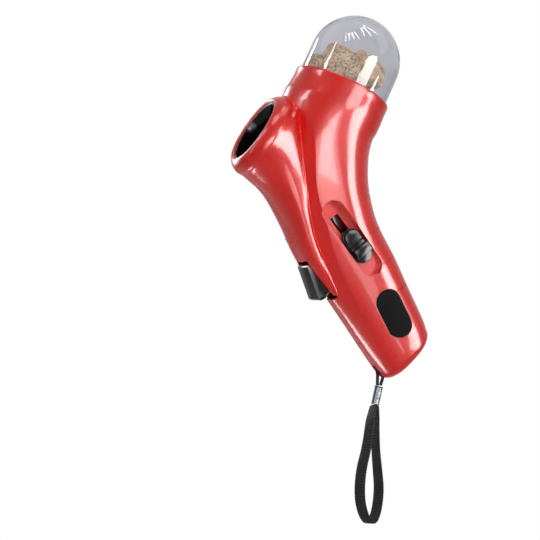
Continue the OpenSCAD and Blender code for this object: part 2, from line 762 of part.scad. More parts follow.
// Thumb knob: oval base, a half-round cap, two cross grooves, a square block and
// a half-round low end
module slide_knob() {
    base = 3;
    cap = 0.72 * knob_h;
    low = 0.6 * knob_h;
    groove_r = 1.5;
    cap_to = 0.22 * knob_l;
    block_from = -0.27 * knob_l;
    block_l = 0.25 * knob_l;
    color(part_black) launched() translate([0, -floor_y - 0.1, knob_z]) difference() {
        union() {
            stadium(knob_l, knob_w, -base, 0, 64);
            intersection() {
                stadium(knob_l - 1.4, knob_w - 1.4, -cap, 0, 64);
                translate([-knob_w, -20, block_from + 1]) cube([2 * knob_w, 21, knob_l]);
            }
            stadium(knob_l - 1, knob_w - 1, -low, 0, 64);
            hull() {
                translate([-knob_w / 2 + 0.3, -base, block_from - 0.3])
                    cube([knob_w - 0.6, 0.5, block_l + 0.6]);
                translate([-knob_w / 2 + 1.3, -knob_h, block_from + 0.4])
                    cube([knob_w - 2.6, 0.5, block_l - 0.8]);
            }
        }
        for (z = [cap_to - groove_r, cap_to - 3.1 * groove_r])
            translate([0, -cap - 0.3, z]) rotate([0, 90, 0])
                cylinder(h = knob_w + 2, r = groove_r, center = true, $fn = 48);
        rotate([90, 0, 0]) translate([0, 0, -1]) cylinder(h = 3.5, r = screw_r, $fn = blend_fn);
    }
}

// A helix of wire from z = 0 up to the given height
module coil(height, mean_r, wire, turns, steps) {
    rise = height - wire;
    skin([for (i = [0:turns * steps])
        let (a = 360 * i / steps, z = wire / 2 + rise * i / (turns * steps),
             slope = atan2(rise / turns, 2 * PI * mean_r))
        [for (j = [0:5])
            let (b = 60 * j, out = wire / 2 * cos(b), up = wire / 2 * sin(b))
            [cos(a) * (mean_r + out) + sin(a) * sin(slope) * up,
             sin(a) * (mean_r + out) - cos(a) * sin(slope) * up,
             z + cos(slope) * up]]]);
}

module main_spring() {
    color(steel) launched() translate([0, 0, seat_z + 0.1])
        coil(carriage_z - seat_z - 0.2, spring_r, spring_wire, spring_turns, 16);
}

// Plate that carries the rear end of the spring, held in a groove of the shells
module seat_plate(gap) {
    half = pad_y - wall - 0.1 + gap;
    front = slide_depth / 2 - 7.6;
    back = slide_depth / 2 - 12.6;
    intersection() {
        translate([-front - gap, -half, seat_z - seat_h - gap])
            cube([front + back + 2 * gap, 2 * half, seat_h + 2 * gap]);
        translate([(back - front) / 2, 0, seat_z - seat_h - 1])
            cylinder(h = seat_h + 2, r = slide_depth / 2 - 8 + gap, $fn = bore_fn);
    }
}

module spring_seat() {
    color(inner_grey) launched() difference() {
        seat_plate(0);
        translate([0, 0, seat_z - seat_h - 1])
            cylinder(h = seat_h + 2, r = rod_r + run_gap, $fn = bore_fn);
    }
}

// A point of the handle frame as seen in the launch frame
function on_launch_axis(p) =
    let (d = p - crossing)
    crossing + [d[0] * cos(launch_turn) + d[1] * sin(launch_turn),
                d[1] * cos(launch_turn) - d[0] * sin(launch_turn)];

// Trigger: a wedge below its pivot, and a sear arm above it. The wedge's corners are
// shares of its length, from the pivot.
blade = [[-0.389, 0.139], [-0.444, 0.102], [-0.667, -0.769], [-0.62, -0.843],
         [-0.491, -0.861], [-0.269, -0.787], [-0.204, -0.185], [0.13, -0.111],
         [0.13, 0.074], [0.037, 0.139]];
module trigger() {
    hub = on_launch_axis(pivot_at);
    nose_z = carriage_top + 0.4;
    color(part_black) held() difference() {
        union() {
            translate([0, trigger_w / 2, 0]) rotate([90, 0, 0])
                linear_extrude(height = trigger_w)
                    polygon([for (p = blade) pivot_at + trigger_l * p]);
            on_launch() translate([0, lug_w / 2, 0]) rotate([90, 0, 0])
                linear_extrude(height = lug_w) polygon([
                    [hub[0] - 2.4, hub[1]], [hub[0] + 2.6, hub[1]], [hub[0] + 2.8, nose_z - 1],
                    [hub[0] + 3.4, nose_z], [-lug_reach - 0.2, nose_z],
                    [-lug_reach - 0.2, nose_z + 1], [hub[0] + 2.2, nose_z + 4],
                    [hub[0] - 1.4, nose_z + 4]]);
        }
        translate([pivot_at[0], 0, pivot_at[1]]) rotate([90, 0, 0])
            cylinder(h = 40, r = pin_r + run_gap, center = true, $fn = blend_fn);
        // Pocket for the return spring
        translate([return_spring[0], 0, return_spring[1]]) rotate([0, 90, 0])
            cylinder(h = 10, r = 3, $fn = blend_fn);
    }
}

module trigger_pin() {
    color(steel) held() translate([pivot_at[0], 0, pivot_at[1]]) rotate([90, 0, 0])
        cylinder(h = 2 * trigger_pin_reach - 0.2, r = pin_r, center = true, $fn = blend_fn);
}

module trigger_spring() {
    color(steel) held() translate([return_spring[0] + 0.1, 0, return_spring[1]])
        rotate([0, 90, 0]) coil(post_x - return_spring[0] - 0.2, 2.2, 0.6, 6, 12);
}

module grip_pad(side) {
    color(part_black) held() intersection() {
        tube_skin(0, 3, 9, outer_steps);
        on_pad() scale([1, side, 1])
            stadium(pad_l - 0.3, pad_w - 0.3, pad_y + 0.02, pad_y + 10);
    }
}
module grip_pad_left() grip_pad(-1);
module grip_pad_right() grip_pad(1);

module shell_screws() {
    color(steel) held() for (p = screw_spots)
        translate([p[0], 0, p[1]]) rotate([-90, 0, 0]) difference() {
            union() {
                translate([0, 0, screw_from])
                    cylinder(h = screw_to - screw_from, r = screw_r, $fn = blend_fn);
                translate([0, 0, screw_to]) cylinder(h = 1.8, r = screw_head_r, $fn = blend_fn);
            }
            for (a = [0, 90]) rotate([0, 0, a])
                translate([-1.3, -0.3, screw_to + 0.8]) cube([2.6, 0.6, 2]);
        }
}

module lanyard_pin() {
    color(steel) held() translate([lanyard_at[0], 0, lanyard_at[1]]) rotate([90, 0, 0])
        cylinder(h = lanyard_l, r = lanyard_r, center = true, $fn = blend_fn);
}

// The strap hangs in the row frame, straight down from the lanyard pin.
eye = held_point(lanyard_at);
ferrule_top = eye + [-1.024, 0, -16.247];
ferrule_end = ferrule_top + [-2.8, 0, -11.4];

// A tube or tape swept along points: each ring is an octagon, flat for a tape
function unit(v) = v / norm(v);
function along(p, i) = unit(p[min(i + 1, len(p) - 1)] - p[max(i - 1, 0)]);
module sweep(points, wide, thick, cross_dir) {
    skin([for (i = [0:len(points) - 1])
        let (t = along(points, i), up = unit(cross(t, cross_dir)))
        [for (j = [7:-1:0])
            points[i] + cross_dir * wide / 2 * cos(45 * j + 22.5) / cos(22.5)
                      + up * thick / 2 * sin(45 * j + 22.5) / cos(22.5)]]);
}

// Thin cord: up from the ferrule, round the pin and down again
loop_r = lanyard_r + cord_d / 2 + 0.1;
cord_route = concat(
    [ferrule_top + [-1.05, 0, 0.1], eye + [-1.92, 0, -11.65], eye + [-2.42, 0, -5.65]],
    [for (a = [180:-30:0]) eye + loop_r * [cos(a), 0, sin(a)]],
    [eye + [2.08, 0, -5.65], eye + [1.18, 0, -11.65], ferrule_top + [1.05, 0, 0.1]]);

module strap_cord() {
    color(part_black) sweep(cord_route, cord_d, cord_d, [0, 1, 0]);
}

// Crimped sleeve
module strap_ferrule() {
    d = ferrule_top - ferrule_end;
    color(steel) translate(ferrule_end) rotate([0, atan2(d[0], d[2]), 0])
        translate([0, 0, 0.6]) linear_extrude(height = norm(d) - 1) hull()
            for (s = [-1, 1]) translate([s * 0.6, 0]) circle(d = 3.6, $fn = 32);
}

// Wrist loop: points are [out from the ferrule, height], in the loop's own plane
loop_turn = 42.5;
loop_out = [-cos(loop_turn), -sin(loop_turn), 0];
loop_across = [-sin(loop_turn), cos(loop_turn), 0];
loop_route = [[0.9, 0], [3.2, -3.4], [6, -8], [7.8, -14], [9.6, -20], [12.4, -26.5],
              [16.2, -33], [18.8, -40], [19.8, -47], [19, -54], [15.6, -60.6],
              [11, -65.2], [6.2, -67.3], [1.6, -65.8], [-2.4, -61], [-5, -54],
              [-5.6, -47], [-4.4, -40], [-3, -33], [-1.8, -26.5], [-1.4, -20],
              [-1.4, -14], [-1.6, -8], [-1.4, -3.4], [-0.9, 0]];

module strap_loop() {
    color(part_black)
        sweep([for (p = loop_route) ferrule_end + p[0] * loop_out + [0, 0, p[1]]],
              tape_w, tape_t, loop_across);
}

left_shell();
right_shell();
muzzle_liner();
hopper_dome();
dome_seal();
hopper_funnel();
breech_tube();
bumper_ring();
plunger_head();
plunger_rod();
rod_clip();
carriage();
slide_knob();
knob_screw();
main_spring();
spring_seat();
trigger();
trigger_pin();
trigger_spring();
grip_pad_left();
grip_pad_right();
shell_screws();
lanyard_pin();
strap_cord();
strap_ferrule();
strap_loop();
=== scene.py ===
"""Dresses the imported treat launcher: glossy casing, clear hopper dome with treats, muzzle
liner, thumb slide, trigger, grip pads, inner works and wrist strap.

Every piece is in metres in the row frame. The casing is drawn in millimetres in the handle
frame, where +Z runs along the handle towards the muzzle, and LEAN leans it.
"""

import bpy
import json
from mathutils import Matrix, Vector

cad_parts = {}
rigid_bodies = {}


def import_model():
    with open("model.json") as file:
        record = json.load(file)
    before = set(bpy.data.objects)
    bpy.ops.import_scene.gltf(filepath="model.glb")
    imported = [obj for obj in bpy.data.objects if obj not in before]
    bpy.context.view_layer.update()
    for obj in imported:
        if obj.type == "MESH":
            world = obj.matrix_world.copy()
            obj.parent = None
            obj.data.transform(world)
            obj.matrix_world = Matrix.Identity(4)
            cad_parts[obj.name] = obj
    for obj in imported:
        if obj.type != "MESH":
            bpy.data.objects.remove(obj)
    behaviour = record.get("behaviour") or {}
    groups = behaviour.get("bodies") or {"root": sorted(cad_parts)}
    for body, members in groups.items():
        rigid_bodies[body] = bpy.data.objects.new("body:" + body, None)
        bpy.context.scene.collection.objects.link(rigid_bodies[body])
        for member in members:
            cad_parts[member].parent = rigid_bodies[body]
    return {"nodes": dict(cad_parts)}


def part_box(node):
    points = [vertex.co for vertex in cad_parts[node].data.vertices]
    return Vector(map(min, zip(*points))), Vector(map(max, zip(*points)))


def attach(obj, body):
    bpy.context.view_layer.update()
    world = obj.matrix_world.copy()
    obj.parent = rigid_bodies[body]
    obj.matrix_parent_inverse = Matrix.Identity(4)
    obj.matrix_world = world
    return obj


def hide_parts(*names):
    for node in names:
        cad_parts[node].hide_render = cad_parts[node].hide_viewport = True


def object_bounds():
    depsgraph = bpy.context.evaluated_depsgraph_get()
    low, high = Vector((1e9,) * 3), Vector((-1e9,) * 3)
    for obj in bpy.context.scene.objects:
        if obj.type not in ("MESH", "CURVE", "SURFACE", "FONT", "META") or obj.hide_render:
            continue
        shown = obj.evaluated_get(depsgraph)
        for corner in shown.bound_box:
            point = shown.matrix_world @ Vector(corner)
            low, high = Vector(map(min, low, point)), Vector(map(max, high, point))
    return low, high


bl_info = {
    "name": "Treat launcher",
    "version": (1, 0, 0),
    "blender": (4, 5, 0),
    "location": "View3D > Sidebar > Launcher",
    "description": "Dresses the packed treat launcher in plastic, clear dome and webbing",
    "category": "Object",
}

import json
from math import acos, atan2, cos, exp, pi, radians, sin, sqrt, tan

import bmesh
import bpy
from bpy.props import FloatProperty, FloatVectorProperty, IntProperty, PointerProperty
from mathutils import Matrix, Quaternion, Vector, kdtree, noise

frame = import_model()
CAD_BOX = [list(corner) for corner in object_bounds()]
DOME_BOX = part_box("hopper_dome")

MM = 0.001
# Height above the grip's centre at which the axes of handle, hopper and muzzle cross (mm)
CROSSING = 70.5
HANDLE_LEAN = 35
IDENTITY = Matrix.Identity(4)
LEAN = Matrix.Rotation(radians(-HANDLE_LEAN), 4, "Y")
ALONG_X = Matrix.Rotation(radians(90), 4, "Y")


def up(z):
    return Matrix.Translation((0, 0, z))


def sideways(x, z, turn=-90):
    """A frame at a point of the casing's middle plane, whose Z runs across the casing."""
    return Matrix.Translation((x, 0, z)) @ Matrix.Rotation(radians(turn), 4, "X")


def at_crossing(tilt):
    """The frame whose +Z leaves the crossing of the axes at this tilt from the handle."""
    return LEAN @ up(CROSSING) @ Matrix.Rotation(radians(tilt), 4, "Y")


LAUNCH = at_crossing(-3.2) @ up(-CROSSING)
HOPPER = at_crossing(60.5)
MUZZLE = at_crossing(-6.5)


# ---------------------------------------------------------------- sizes and colours


def size(name, description, default, low, high):
    return FloatProperty(name=name, description=description, default=default, min=low, max=high,
                         unit="LENGTH", precision=5)


def tint(name, description, hex_value):
    return FloatVectorProperty(name=name, description=description, default=linear(hex_value)[:3],
                               size=3, min=0, max=1, subtype="COLOR")


def linear(hex_value):
    """Linear RGBA of an sRGB hex colour."""
    parts = [int(hex_value[i:i + 2], 16) / 255 for i in (1, 3, 5)]
    return [c / 12.92 if c <= 0.04045 else ((c + 0.055) / 1.055) ** 2.4 for c in parts] + [1]


class CasingLook(bpy.types.PropertyGroup):
    red: tint("Casing red", "Colour of the two moulded half shells", "#dc180f")
    wall: size("Wall", "Wall of the half shells", 0.0022, 0.001, 0.004)
    parting: size("Parting gap", "Width of the line between the half shells", 0.00016, 0, 0.001)
    groove: size("Back groove", "Width of the fine grooves across the back", 0.0006, 0.0002,
                 0.002)
    lip: size("Nose lip", "Size of the lip along the nose's rear edge", 0.0008, 0, 0.002)


class HopperLook(bpy.types.PropertyGroup):
    radius: size("Dome radius", "Outer radius of the clear dome",
                 (DOME_BOX[1].y - DOME_BOX[0].y) / 2, 0.02, 0.04)
    wall: size("Dome wall", "Wall of the clear dome", 0.0018, 0.001, 0.004)
    treats: IntProperty(name="Treats", description="How many treats lie in the hopper",
                        default=9, min=0, max=9)
    biscuit: tint("Biscuit", "Colour of the baked treats", "#cbb08c")


class StrapLook(bpy.types.PropertyGroup):
    tape: size("Tape width", "Width of the wrist tape", 0.0066, 0.003, 0.012)
    cord: size("Cord diameter", "Diameter of the thin cord", 0.002, 0.001, 0.004)
    rib: size("Rib", "Distance between the ribs of the woven tape", 0.0017, 0.0005, 0.003)


class StageLook(bpy.types.PropertyGroup):
    light: FloatProperty(name="Light", description="Brightness of all lamps and cards",
                         default=1, min=0, max=10)
    distance: size("Camera distance", "From the camera to the launcher", 1.2, 0.3, 10)


# ---------------------------------------------------------------- mesh helpers


def new_object(name, bm, matrix=LEAN, unit=MM, smooth=30):
    """An object at the origin whose mesh is bm, taken from its drawing frame to the row frame."""
    bm.transform(Matrix.Scale(unit, 4) @ matrix)
    mesh = bpy.data.meshes.new(name)
    bm.to_mesh(mesh)
    bm.free()
    mesh.shade_smooth()
    if smooth < 180:
        mesh.set_sharp_from_angle(angle=radians(smooth))
    obj = bpy.data.objects.new(name, mesh)
    bpy.context.scene.collection.objects.link(obj)
    return obj


def loft(rings, marks=None):
    """A closed skin: a circle is laid on the first ring and extruded on through the others.
    marks, if given, are kept on its points as the attribute weave."""
    bm = bmesh.new()
    layer = bm.verts.layers.float_vector.new("weave") if marks else None
    loop = bmesh.ops.create_circle(bm, cap_ends=True, segments=len(rings[0]), radius=1)["verts"]
    for k, ring in enumerate(rings):
        if k:
            made = bmesh.ops.extrude_edge_only(bm, edges=edges)["geom"]
            fresh = {v for v in made if isinstance(v, bmesh.types.BMVert)}
            loop = [next(e.other_vert(v) for e in v.link_edges if e.other_vert(v) in fresh)
                    for v in loop]
        edges = [bm.edges.get(pair) for pair in zip(loop, loop[1:] + loop[:1])]
        for i, (vert, point) in enumerate(zip(loop, ring)):
            vert.co = point
            if marks:
                vert[layer] = marks[k][i]
    bmesh.ops.edgeloop_fill(bm, edges=edges)
    bmesh.ops.recalc_face_normals(bm, faces=bm.faces)
    return bm


def turned(profile, segments):
    """A body turned round Z from its closed outline of (radius, height) points."""
    bm = bmesh.new()
    verts = [bm.verts.new((r, 0, z)) for r, z in profile]
    edges = [bm.edges.new(pair) for pair in zip(verts, verts[1:] + verts[:1])
             if pair[0].co.x > 1e-6 or pair[1].co.x > 1e-6]
    bmesh.ops.spin(bm, geom=verts + edges, axis=(0, 0, 1), cent=(0, 0, 0), steps=segments,
                   angle=2 * pi, use_merge=True, use_duplicate=False)
    bmesh.ops.remove_doubles(bm, verts=bm.verts, dist=1e-4)
    bmesh.ops.recalc_face_normals(bm, faces=bm.faces)
    return bm


def solid(name, *parts):
    """An object drawn in the handle frame; each part is a function and what it takes."""
    bm = bmesh.new()
    for draw, *sizes in parts:
        draw(bm, *sizes)
    return new_object(name, bm)


def rod(bm, matrix, radius, z1, z2, segments):
    """Adds a round bar along Z of the given frame."""
    bmesh.ops.create_cone(bm, cap_ends=True, segments=segments, radius1=radius, radius2=radius,
                          depth=z2 - z1, matrix=matrix @ up((z1 + z2) / 2))


def block(bm, matrix, low, high):
    """Adds a box between two corners of the given frame."""
    low, high = Vector(low), Vector(high)
    bmesh.ops.create_cube(bm, size=1, matrix=matrix @ Matrix.Translation((low + high) / 2)
                          @ Matrix.Diagonal((*(high - low), 1)))


def soften(bm, offset, segments=3):
    """Rounds every edge at which the faces turn by more than 30 degrees."""
    sharp = [e for e in bm.edges if e.is_manifold and e.calc_face_angle() > radians(30)]
    bmesh.ops.bevel(bm, geom=sharp, offset=offset, offset_type="OFFSET", segments=segments,
                    profile=0.5, affect="EDGES", clamp_overlap=True, material=-1)


def stadium(bm, matrix, length, width, y1, y2, segments=64):
    """Adds a bar along Z with round ends, standing from y1 to y2 of the given frame."""
    turn = Matrix.Rotation(radians(-90), 4, "X") @ Matrix.Rotation(pi / segments, 4, "Z")
    verts = bmesh.ops.create_circle(bm, cap_ends=True, segments=segments, radius=width / 2,
                                    matrix=turn)["verts"]
    for vert in verts:
        vert.co += Vector((0, y1, (length - width) / 2 * (1 if vert.co.z > 0 else -1)))
    face = next(f for f in verts[0].link_faces)
    made = bmesh.ops.extrude_face_region(bm, geom=[face])["geom"]
    top = [v for v in made if isinstance(v, bmesh.types.BMVert)]
    bmesh.ops.translate(bm, vec=(0, y2 - y1, 0), verts=top)
    bmesh.ops.transform(bm, matrix=matrix, verts=verts + top)
    bmesh.ops.recalc_face_normals(bm, faces=list({f for v in verts for f in v.link_faces}))


def carve(obj, operation, *tools):
    """Adds, cuts or keeps what the tools share with obj, and takes the tools away."""
    for tool in tools:
        cut = obj.modifiers.new("cut", "BOOLEAN")
        cut.operation = operation
        cut.solver = "MANIFOLD"
        cut.object = tool
    apply_modifiers(obj)
    for tool in tools:
        bpy.data.objects.remove(tool)
    return obj


def bmesh_of(obj):
    bm = bmesh.new()
    bm.from_mesh(obj.data)
    return bm


def apply_modifiers(obj):
    deps = bpy.context.evaluated_depsgraph_get()
    mesh = bpy.data.meshes.new_from_object(obj.evaluated_get(deps))
    obj.modifiers.clear()
    obj.data = mesh


def copy_of(node, name):
    """A merged, smooth-shaded copy of a CAD node."""
    bm = bmesh_of(frame["nodes"][node])
    bmesh.ops.remove_doubles(bm, verts=bm.verts, dist=1e-6)
    return new_object(name, bm, IDENTITY, 1)


def round_edges(obj, width):
    """Leaves a Bevel modifier on the sharp edges of a piece."""
    bevel = obj.modifiers.new("round", "BEVEL")
    bevel.width = width
    bevel.segments = 3
    bevel.limit_method = "ANGLE"
    bevel.angle_limit = radians(35)
    bevel.profile = 0.5
    obj.data.set_sharp_from_angle(angle=radians(60))


def dress(obj, node, material, body):
    """Gives a finished piece its material and its body, and hides its CAD node."""
    obj.data.materials.clear()
    obj.data.materials.append(material)
    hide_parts(node)
    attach(obj, body)


# ---------------------------------------------------------------- material helpers


def add(tree, kind, inputs=(), stops=(), **settings):
    """Adds a shader node with its settings and links. inputs gives its sockets values,
    output sockets or nodes, whose first output is linked, and stops gives a colour ramp
    (place, sRGB hex or linear RGB) pairs."""
    node = tree.nodes.new(f"ShaderNode{kind}")
    for name, value in settings.items():
        setattr(node, name, value)
    ends = node.color_ramp.elements if stops else []
    while len(ends) < len(stops):
        ends.new(0.5)
    for end, (place, colour) in zip(ends, stops):
        end.position = place
        end.color = linear(colour) if isinstance(colour, str) else [*colour, 1]
    for socket, value in dict(inputs).items():
        if isinstance(value, bpy.types.Node):
            value = value.outputs[0]
        if isinstance(value, bpy.types.NodeSocket):
            tree.links.new(value, node.inputs[socket])
        else:
            node.inputs[socket].default_value = value
    return node


def new_material(name):
    """A material and its empty node tree."""
    material = bpy.data.materials.new(name)
    material.use_nodes = True
    material.node_tree.nodes.clear()
    return material, material.node_tree


def object_point(tree):
    """Object coordinates in millimetres."""
    place = add(tree, "TexCoord").outputs["Object"]
    return add(tree, "VectorMath", {0: place, 1: (1000, 1000, 1000)}, operation="MULTIPLY")


def moulded_plastic(name, colours, roughness, grain, grain_size, edge, ior=1.5, coat=0.0,
                    coat_roughness=0.05, sheen_of_grain=0.03):
    """Injection-moulded plastic: a slow drift of colour, fine grain in gloss and relief, and
    edges that shine as if rounded to the given radius in millimetres."""
    material, tree = new_material(name)
    point = object_point(tree)
    drift = add(tree, "TexNoise", {"Vector": point, "Scale": 0.05, "Detail": 2})
    tone = add(tree, "ValToRGB", {0: drift}, [(0.3, colours[0]), (0.7, colours[1])])
    fine = add(tree, "TexNoise",
               {"Vector": point, "Scale": 1 / grain_size, "Detail": 3, "Roughness": 0.6})
    rough = add(tree, "MapRange",
                {"Value": fine, "From Min": 0.3, "From Max": 0.7,
                 "To Min": roughness - sheen_of_grain, "To Max": roughness + sheen_of_grain})
    rounded = add(tree, "Bevel", {"Radius": edge * MM}, samples=4)
    relief = add(tree, "Bump", {"Strength": 1, "Distance": grain * MM, "Height": fine,
                                "Normal": rounded})
    shader = add(tree, "BsdfPrincipled",
                 {"Base Color": tone, "Roughness": rough, "IOR": ior, "Normal": relief,
                  "Coat Weight": coat, "Coat Roughness": coat_roughness,
                  "Coat Normal": rounded})
    add(tree, "OutputMaterial", {"Surface": shader})
    return material


def red_plastic():
    # Gloss ABS with fine pearl flake under its skin: broad pink highlights with a faint
    # grain, and a sharp lamp reflection on top.
    red = Vector(bpy.context.scene.launcher_casing.red)
    return moulded_plastic("gloss_red_abs", (red * 0.96, red * 1.04), 0.26, 0.012, 0.4,
                           edge=0.35, coat=0.3, coat_roughness=0.06, ior=1.33,
                           sheen_of_grain=0.06)


def black_gloss():
    # Polished black ABS: near-black with bright edges.
    return moulded_plastic("gloss_black_abs", ("#08080a", "#0c0c0f"), 0.16, 0.002, 0.5,
                           edge=0.35, ior=1.3, sheen_of_grain=0.02)


def black_satin():
    # Black nylon of the inner works, with a dull skin.
    return moulded_plastic("satin_black_nylon", ("#151517", "#1d1d20"), 0.45, 0.01, 0.4,
                           edge=0.2)


def grey_satin():
    # Grey polypropylene of the funnel and breech: soft sheen.
    return moulded_plastic("satin_grey_polypropylene", ("#a9adb1", "#b7babd"), 0.4, 0.01, 0.5,
                           edge=0.25)


def black_rubber():
    # Moulded black rubber: matt, with a fine grain in relief, and small grey specks painted into
    # its black as sparkle glints.
    material, tree = new_material("matt_black_rubber")
    point = object_point(tree)
    grain = add(tree, "TexNoise", {"Vector": point, "Scale": 2.4, "Detail": 4})
    # Painted glints: grey specks where the Voronoi distance is short stand in for sparkle on the
    # black.
    glint_spots = add(tree, "TexVoronoi", {"Vector": point, "Scale": 2.2})
    painted_glints = add(tree, "ValToRGB", {0: glint_spots}, [(0.08, "#2c2c31"), (0.2, "#040405")])
    relief = add(tree, "Bump", {"Strength": 0.6, "Distance": 0.05 * MM, "Height": grain})
    shader = add(tree, "BsdfPrincipled",
                 {"Base Color": painted_glints, "Roughness": 0.8, "IOR": 1.5,
                  "Specular IOR Level": 0.05, "Normal": relief})
    add(tree, "OutputMaterial", {"Surface": shader})
    return material


def clear_plastic():
    # Injection-moulded clear styrene: slightly grey at thick edges, with a faint waviness.
    material, tree = new_material("clear_polystyrene")
    wave = add(tree, "TexNoise", {"Vector": object_point(tree), "Scale": 0.09, "Detail": 1})
    relief = add(tree, "Bump", {"Strength": 0.35, "Distance": 0.5 * MM, "Height": wave})
    shader = add(tree, "BsdfPrincipled",
                 {"Base Color": linear("#f6f6f8"), "Roughness": 0.02, "IOR": 1.49,
                  "Transmission Weight": 1, "Normal": relief})
    clear = add(tree, "BsdfTransparent", {"Color": linear("#e6e8ea")})
    shadow = add(tree, "LightPath").outputs["Is Shadow Ray"]
    mix = add(tree, "MixShader", {0: shadow, 1: shader, 2: clear})
    depth = add(tree, "VolumeAbsorption", {"Color": linear("#c3c3d2"), "Density": 150.0})
    add(tree, "OutputMaterial", {"Surface": mix, "Volume": depth})
    return material


def bright_metal(name, dark, pale, roughness, scale):
    # Plated metal: a dull mirror, cloudy where the plating took unevenly.
    material, tree = new_material(name)
    fine = add(tree, "TexNoise", {"Vector": object_point(tree), "Scale": scale, "Detail": 3})
    rough = add(tree, "MapRange",
                {"Value": fine, "To Min": roughness * 0.6, "To Max": roughness * 1.4})
    rounded = add(tree, "Bevel", {"Radius": 0.2 * MM}, samples=4)
    tone = add(tree, "ValToRGB", {0: fine}, [(0.3, dark), (0.7, pale)])
    shader = add(tree, "BsdfPrincipled",
                 {"Base Color": tone, "Metallic": 1, "Roughness": rough, "Normal": rounded})
    add(tree, "OutputMaterial", {"Surface": shader})
    return material


def biscuit():
    # Baked dog biscuit: tan crumb with pale and brown specks and a pitted, dry surface.
    material, tree = new_material("baked_biscuit")
    point = object_point(tree)
    crumb = add(tree, "TexNoise", {"Vector": point, "Scale": 0.72, "Detail": 5, "Roughness": 0.7})
    patch = add(tree, "TexNoise", {"Vector": point, "Scale": 0.16, "Detail": 3})
    pits = add(tree, "TexVoronoi", {"Vector": point, "Scale": 0.75})
    crust = Vector(bpy.context.scene.launcher_hopper.biscuit)
    base = add(tree, "ValToRGB", {0: patch},
               [(0.3, crust * 0.67), (0.5, crust), (0.72, crust * 1.3)])
    speck = add(tree, "ValToRGB", {0: crumb},
                [(0.4, "#6a5038"), (0.47, "#e0d6c8"), (0.56, "#ffffff")])
    colour = add(tree, "Mix", {"Factor": 0.9, "A": base, "B": speck},
                 data_type="RGBA", blend_type="MULTIPLY").outputs["Result"]
    height = add(tree, "Math", {0: crumb, 1: pits}, operation="ADD")
    relief = add(tree, "Bump", {"Strength": 0.9, "Distance": 0.5 * MM, "Height": height})
    shader = add(tree, "BsdfPrincipled",
                 {"Base Color": colour, "Roughness": 0.85, "Normal": relief})
    add(tree, "OutputMaterial", {"Surface": shader})
    return material


def webbing(rib):
    # Woven nylon tape: herringbone ribs that lean both ways from the middle, each broken
    # into short threads, black with a dull gloss. Its colour follows the rib height: painted
    # shade darkens the grooves and painted sheen lightens the rib tops. The real ribs are
    # 1.1 mm apart, drawn coarser here so that they show.
    wale_width, thread, thread_share = 1.1, 0.55, 0.35
    material, tree = new_material("woven_black_nylon")
    weave = add(tree, "Attribute", attribute_name="weave",
                attribute_type="GEOMETRY").outputs["Vector"]
    side, along = add(tree, "SeparateXYZ", {0: weave}).outputs[:2]
    lean = add(tree, "Math", {0: side}, operation="ABSOLUTE")
    wale = add(tree, "Math", {0: lean, 1: wale_width}, operation="PINGPONG")
    slant = add(tree, "Math", {0: along, 1: wale}, operation="ADD")
    turns = add(tree, "Math", {0: slant, 1: 2 * pi / (rib / MM)}, operation="MULTIPLY")
    wave = add(tree, "Math", {0: turns}, operation="SINE")
    cross = add(tree, "Math", {0: side, 1: 2 * pi / thread}, operation="MULTIPLY")
    threads = add(tree, "Math", {0: cross}, operation="SINE")
    mixed = add(tree, "Math", {0: threads, 1: thread_share, 2: wave}, operation="MULTIPLY_ADD")
    height = add(tree, "MapRange",
                 {"Value": mixed, "From Min": -1 - thread_share, "From Max": 1 + thread_share})
    relief = add(tree, "Bump", {"Strength": 0.8, "Distance": 0.18 * MM, "Height": height})
    # Painted shade and sheen: near-black in the grooves, grey on the rib tops, keyed to the rib
    # height.
    tone = add(tree, "ValToRGB", {0: height}, [(0.25, "#010102"), (0.9, "#3a3a40")])
    shader = add(tree, "BsdfPrincipled",
                 {"Base Color": tone, "Roughness": 0.6, "Specular IOR Level": 0.08,
                  "Normal": relief})
    add(tree, "OutputMaterial", {"Surface": shader})
    return material


# ---------------------------------------------------------------- casing form


def direction(tilt):
    """Along an axis that leans by tilt, as (x, z) of the handle frame."""
    return Vector((sin(radians(tilt)), cos(radians(tilt))))


def across(tilt):
    """Towards the back of a section that leans by tilt, as (x, z)."""
    return Vector((cos(radians(tilt)), -sin(radians(tilt))))


# Sizes of the casing in the handle frame, in millimetres and degrees
HOPPER_TILT, MUZZLE_TILT, MOUTH_TILT = 60.5, 6.5, 22.5
HOPPER_L, MUZZLE_L = 61.8, 40.8
COLLAR_R, COLLAR_L, SOCKET_R = 28.7, 16.3, 26.58
# Depth and width of the section at tail, grip, thumb slide and bend; the tail's row goes on
# with its height, its tilt and the rounding of its edge
TAIL = (38.2, 37.0, -50.0, 12.0, 6.0)
GRIP = (42.6, 41.0)
SLIDE = (49.2, 46.0)
BEND = (54.8, 52.4)
BEND_REACH = 45.5
BEND_START = CROSSING - BEND_REACH
BEND_R = BEND_REACH / tan(radians(HOPPER_TILT / 2))
RIM = Vector((0, CROSSING)) + HOPPER_L * direction(HOPPER_TILT)
MOUTH = Vector((0, CROSSING)) + MUZZLE_L * direction(-MUZZLE_TILT)
LINER_R, FACE_R, LIP_R = 18.6, 22.4, 25.6
LINER_FROM = 23.5
BREECH_R, BREECH = 16.05, (49.9, 92)
FLOOR_Y, RECESS_L, RECESS_W = 17.0, 51.0, 12.8
RECESS_MID, SLOT, SLOT_W = 30.7, (21.1, 46.7), 5.7
SCOOP_DEPTH, SCOOP_PITCH, SCOOP_TOP, GROOVE_DEPTH = 1.2, 18.4, 43.5, 0.5
PAD_L, PAD_W, PAD_Y, PAD_Z, PAD_TURN, PAD_GAP = 30.0, 15.4, 16.4, -19.5, 6.0, 0.15
SCREWS = [(-13, -30), (10, -42), (24, 40), (-18.6, 46.3), (43.5, 66.5), (18, 108.5)]
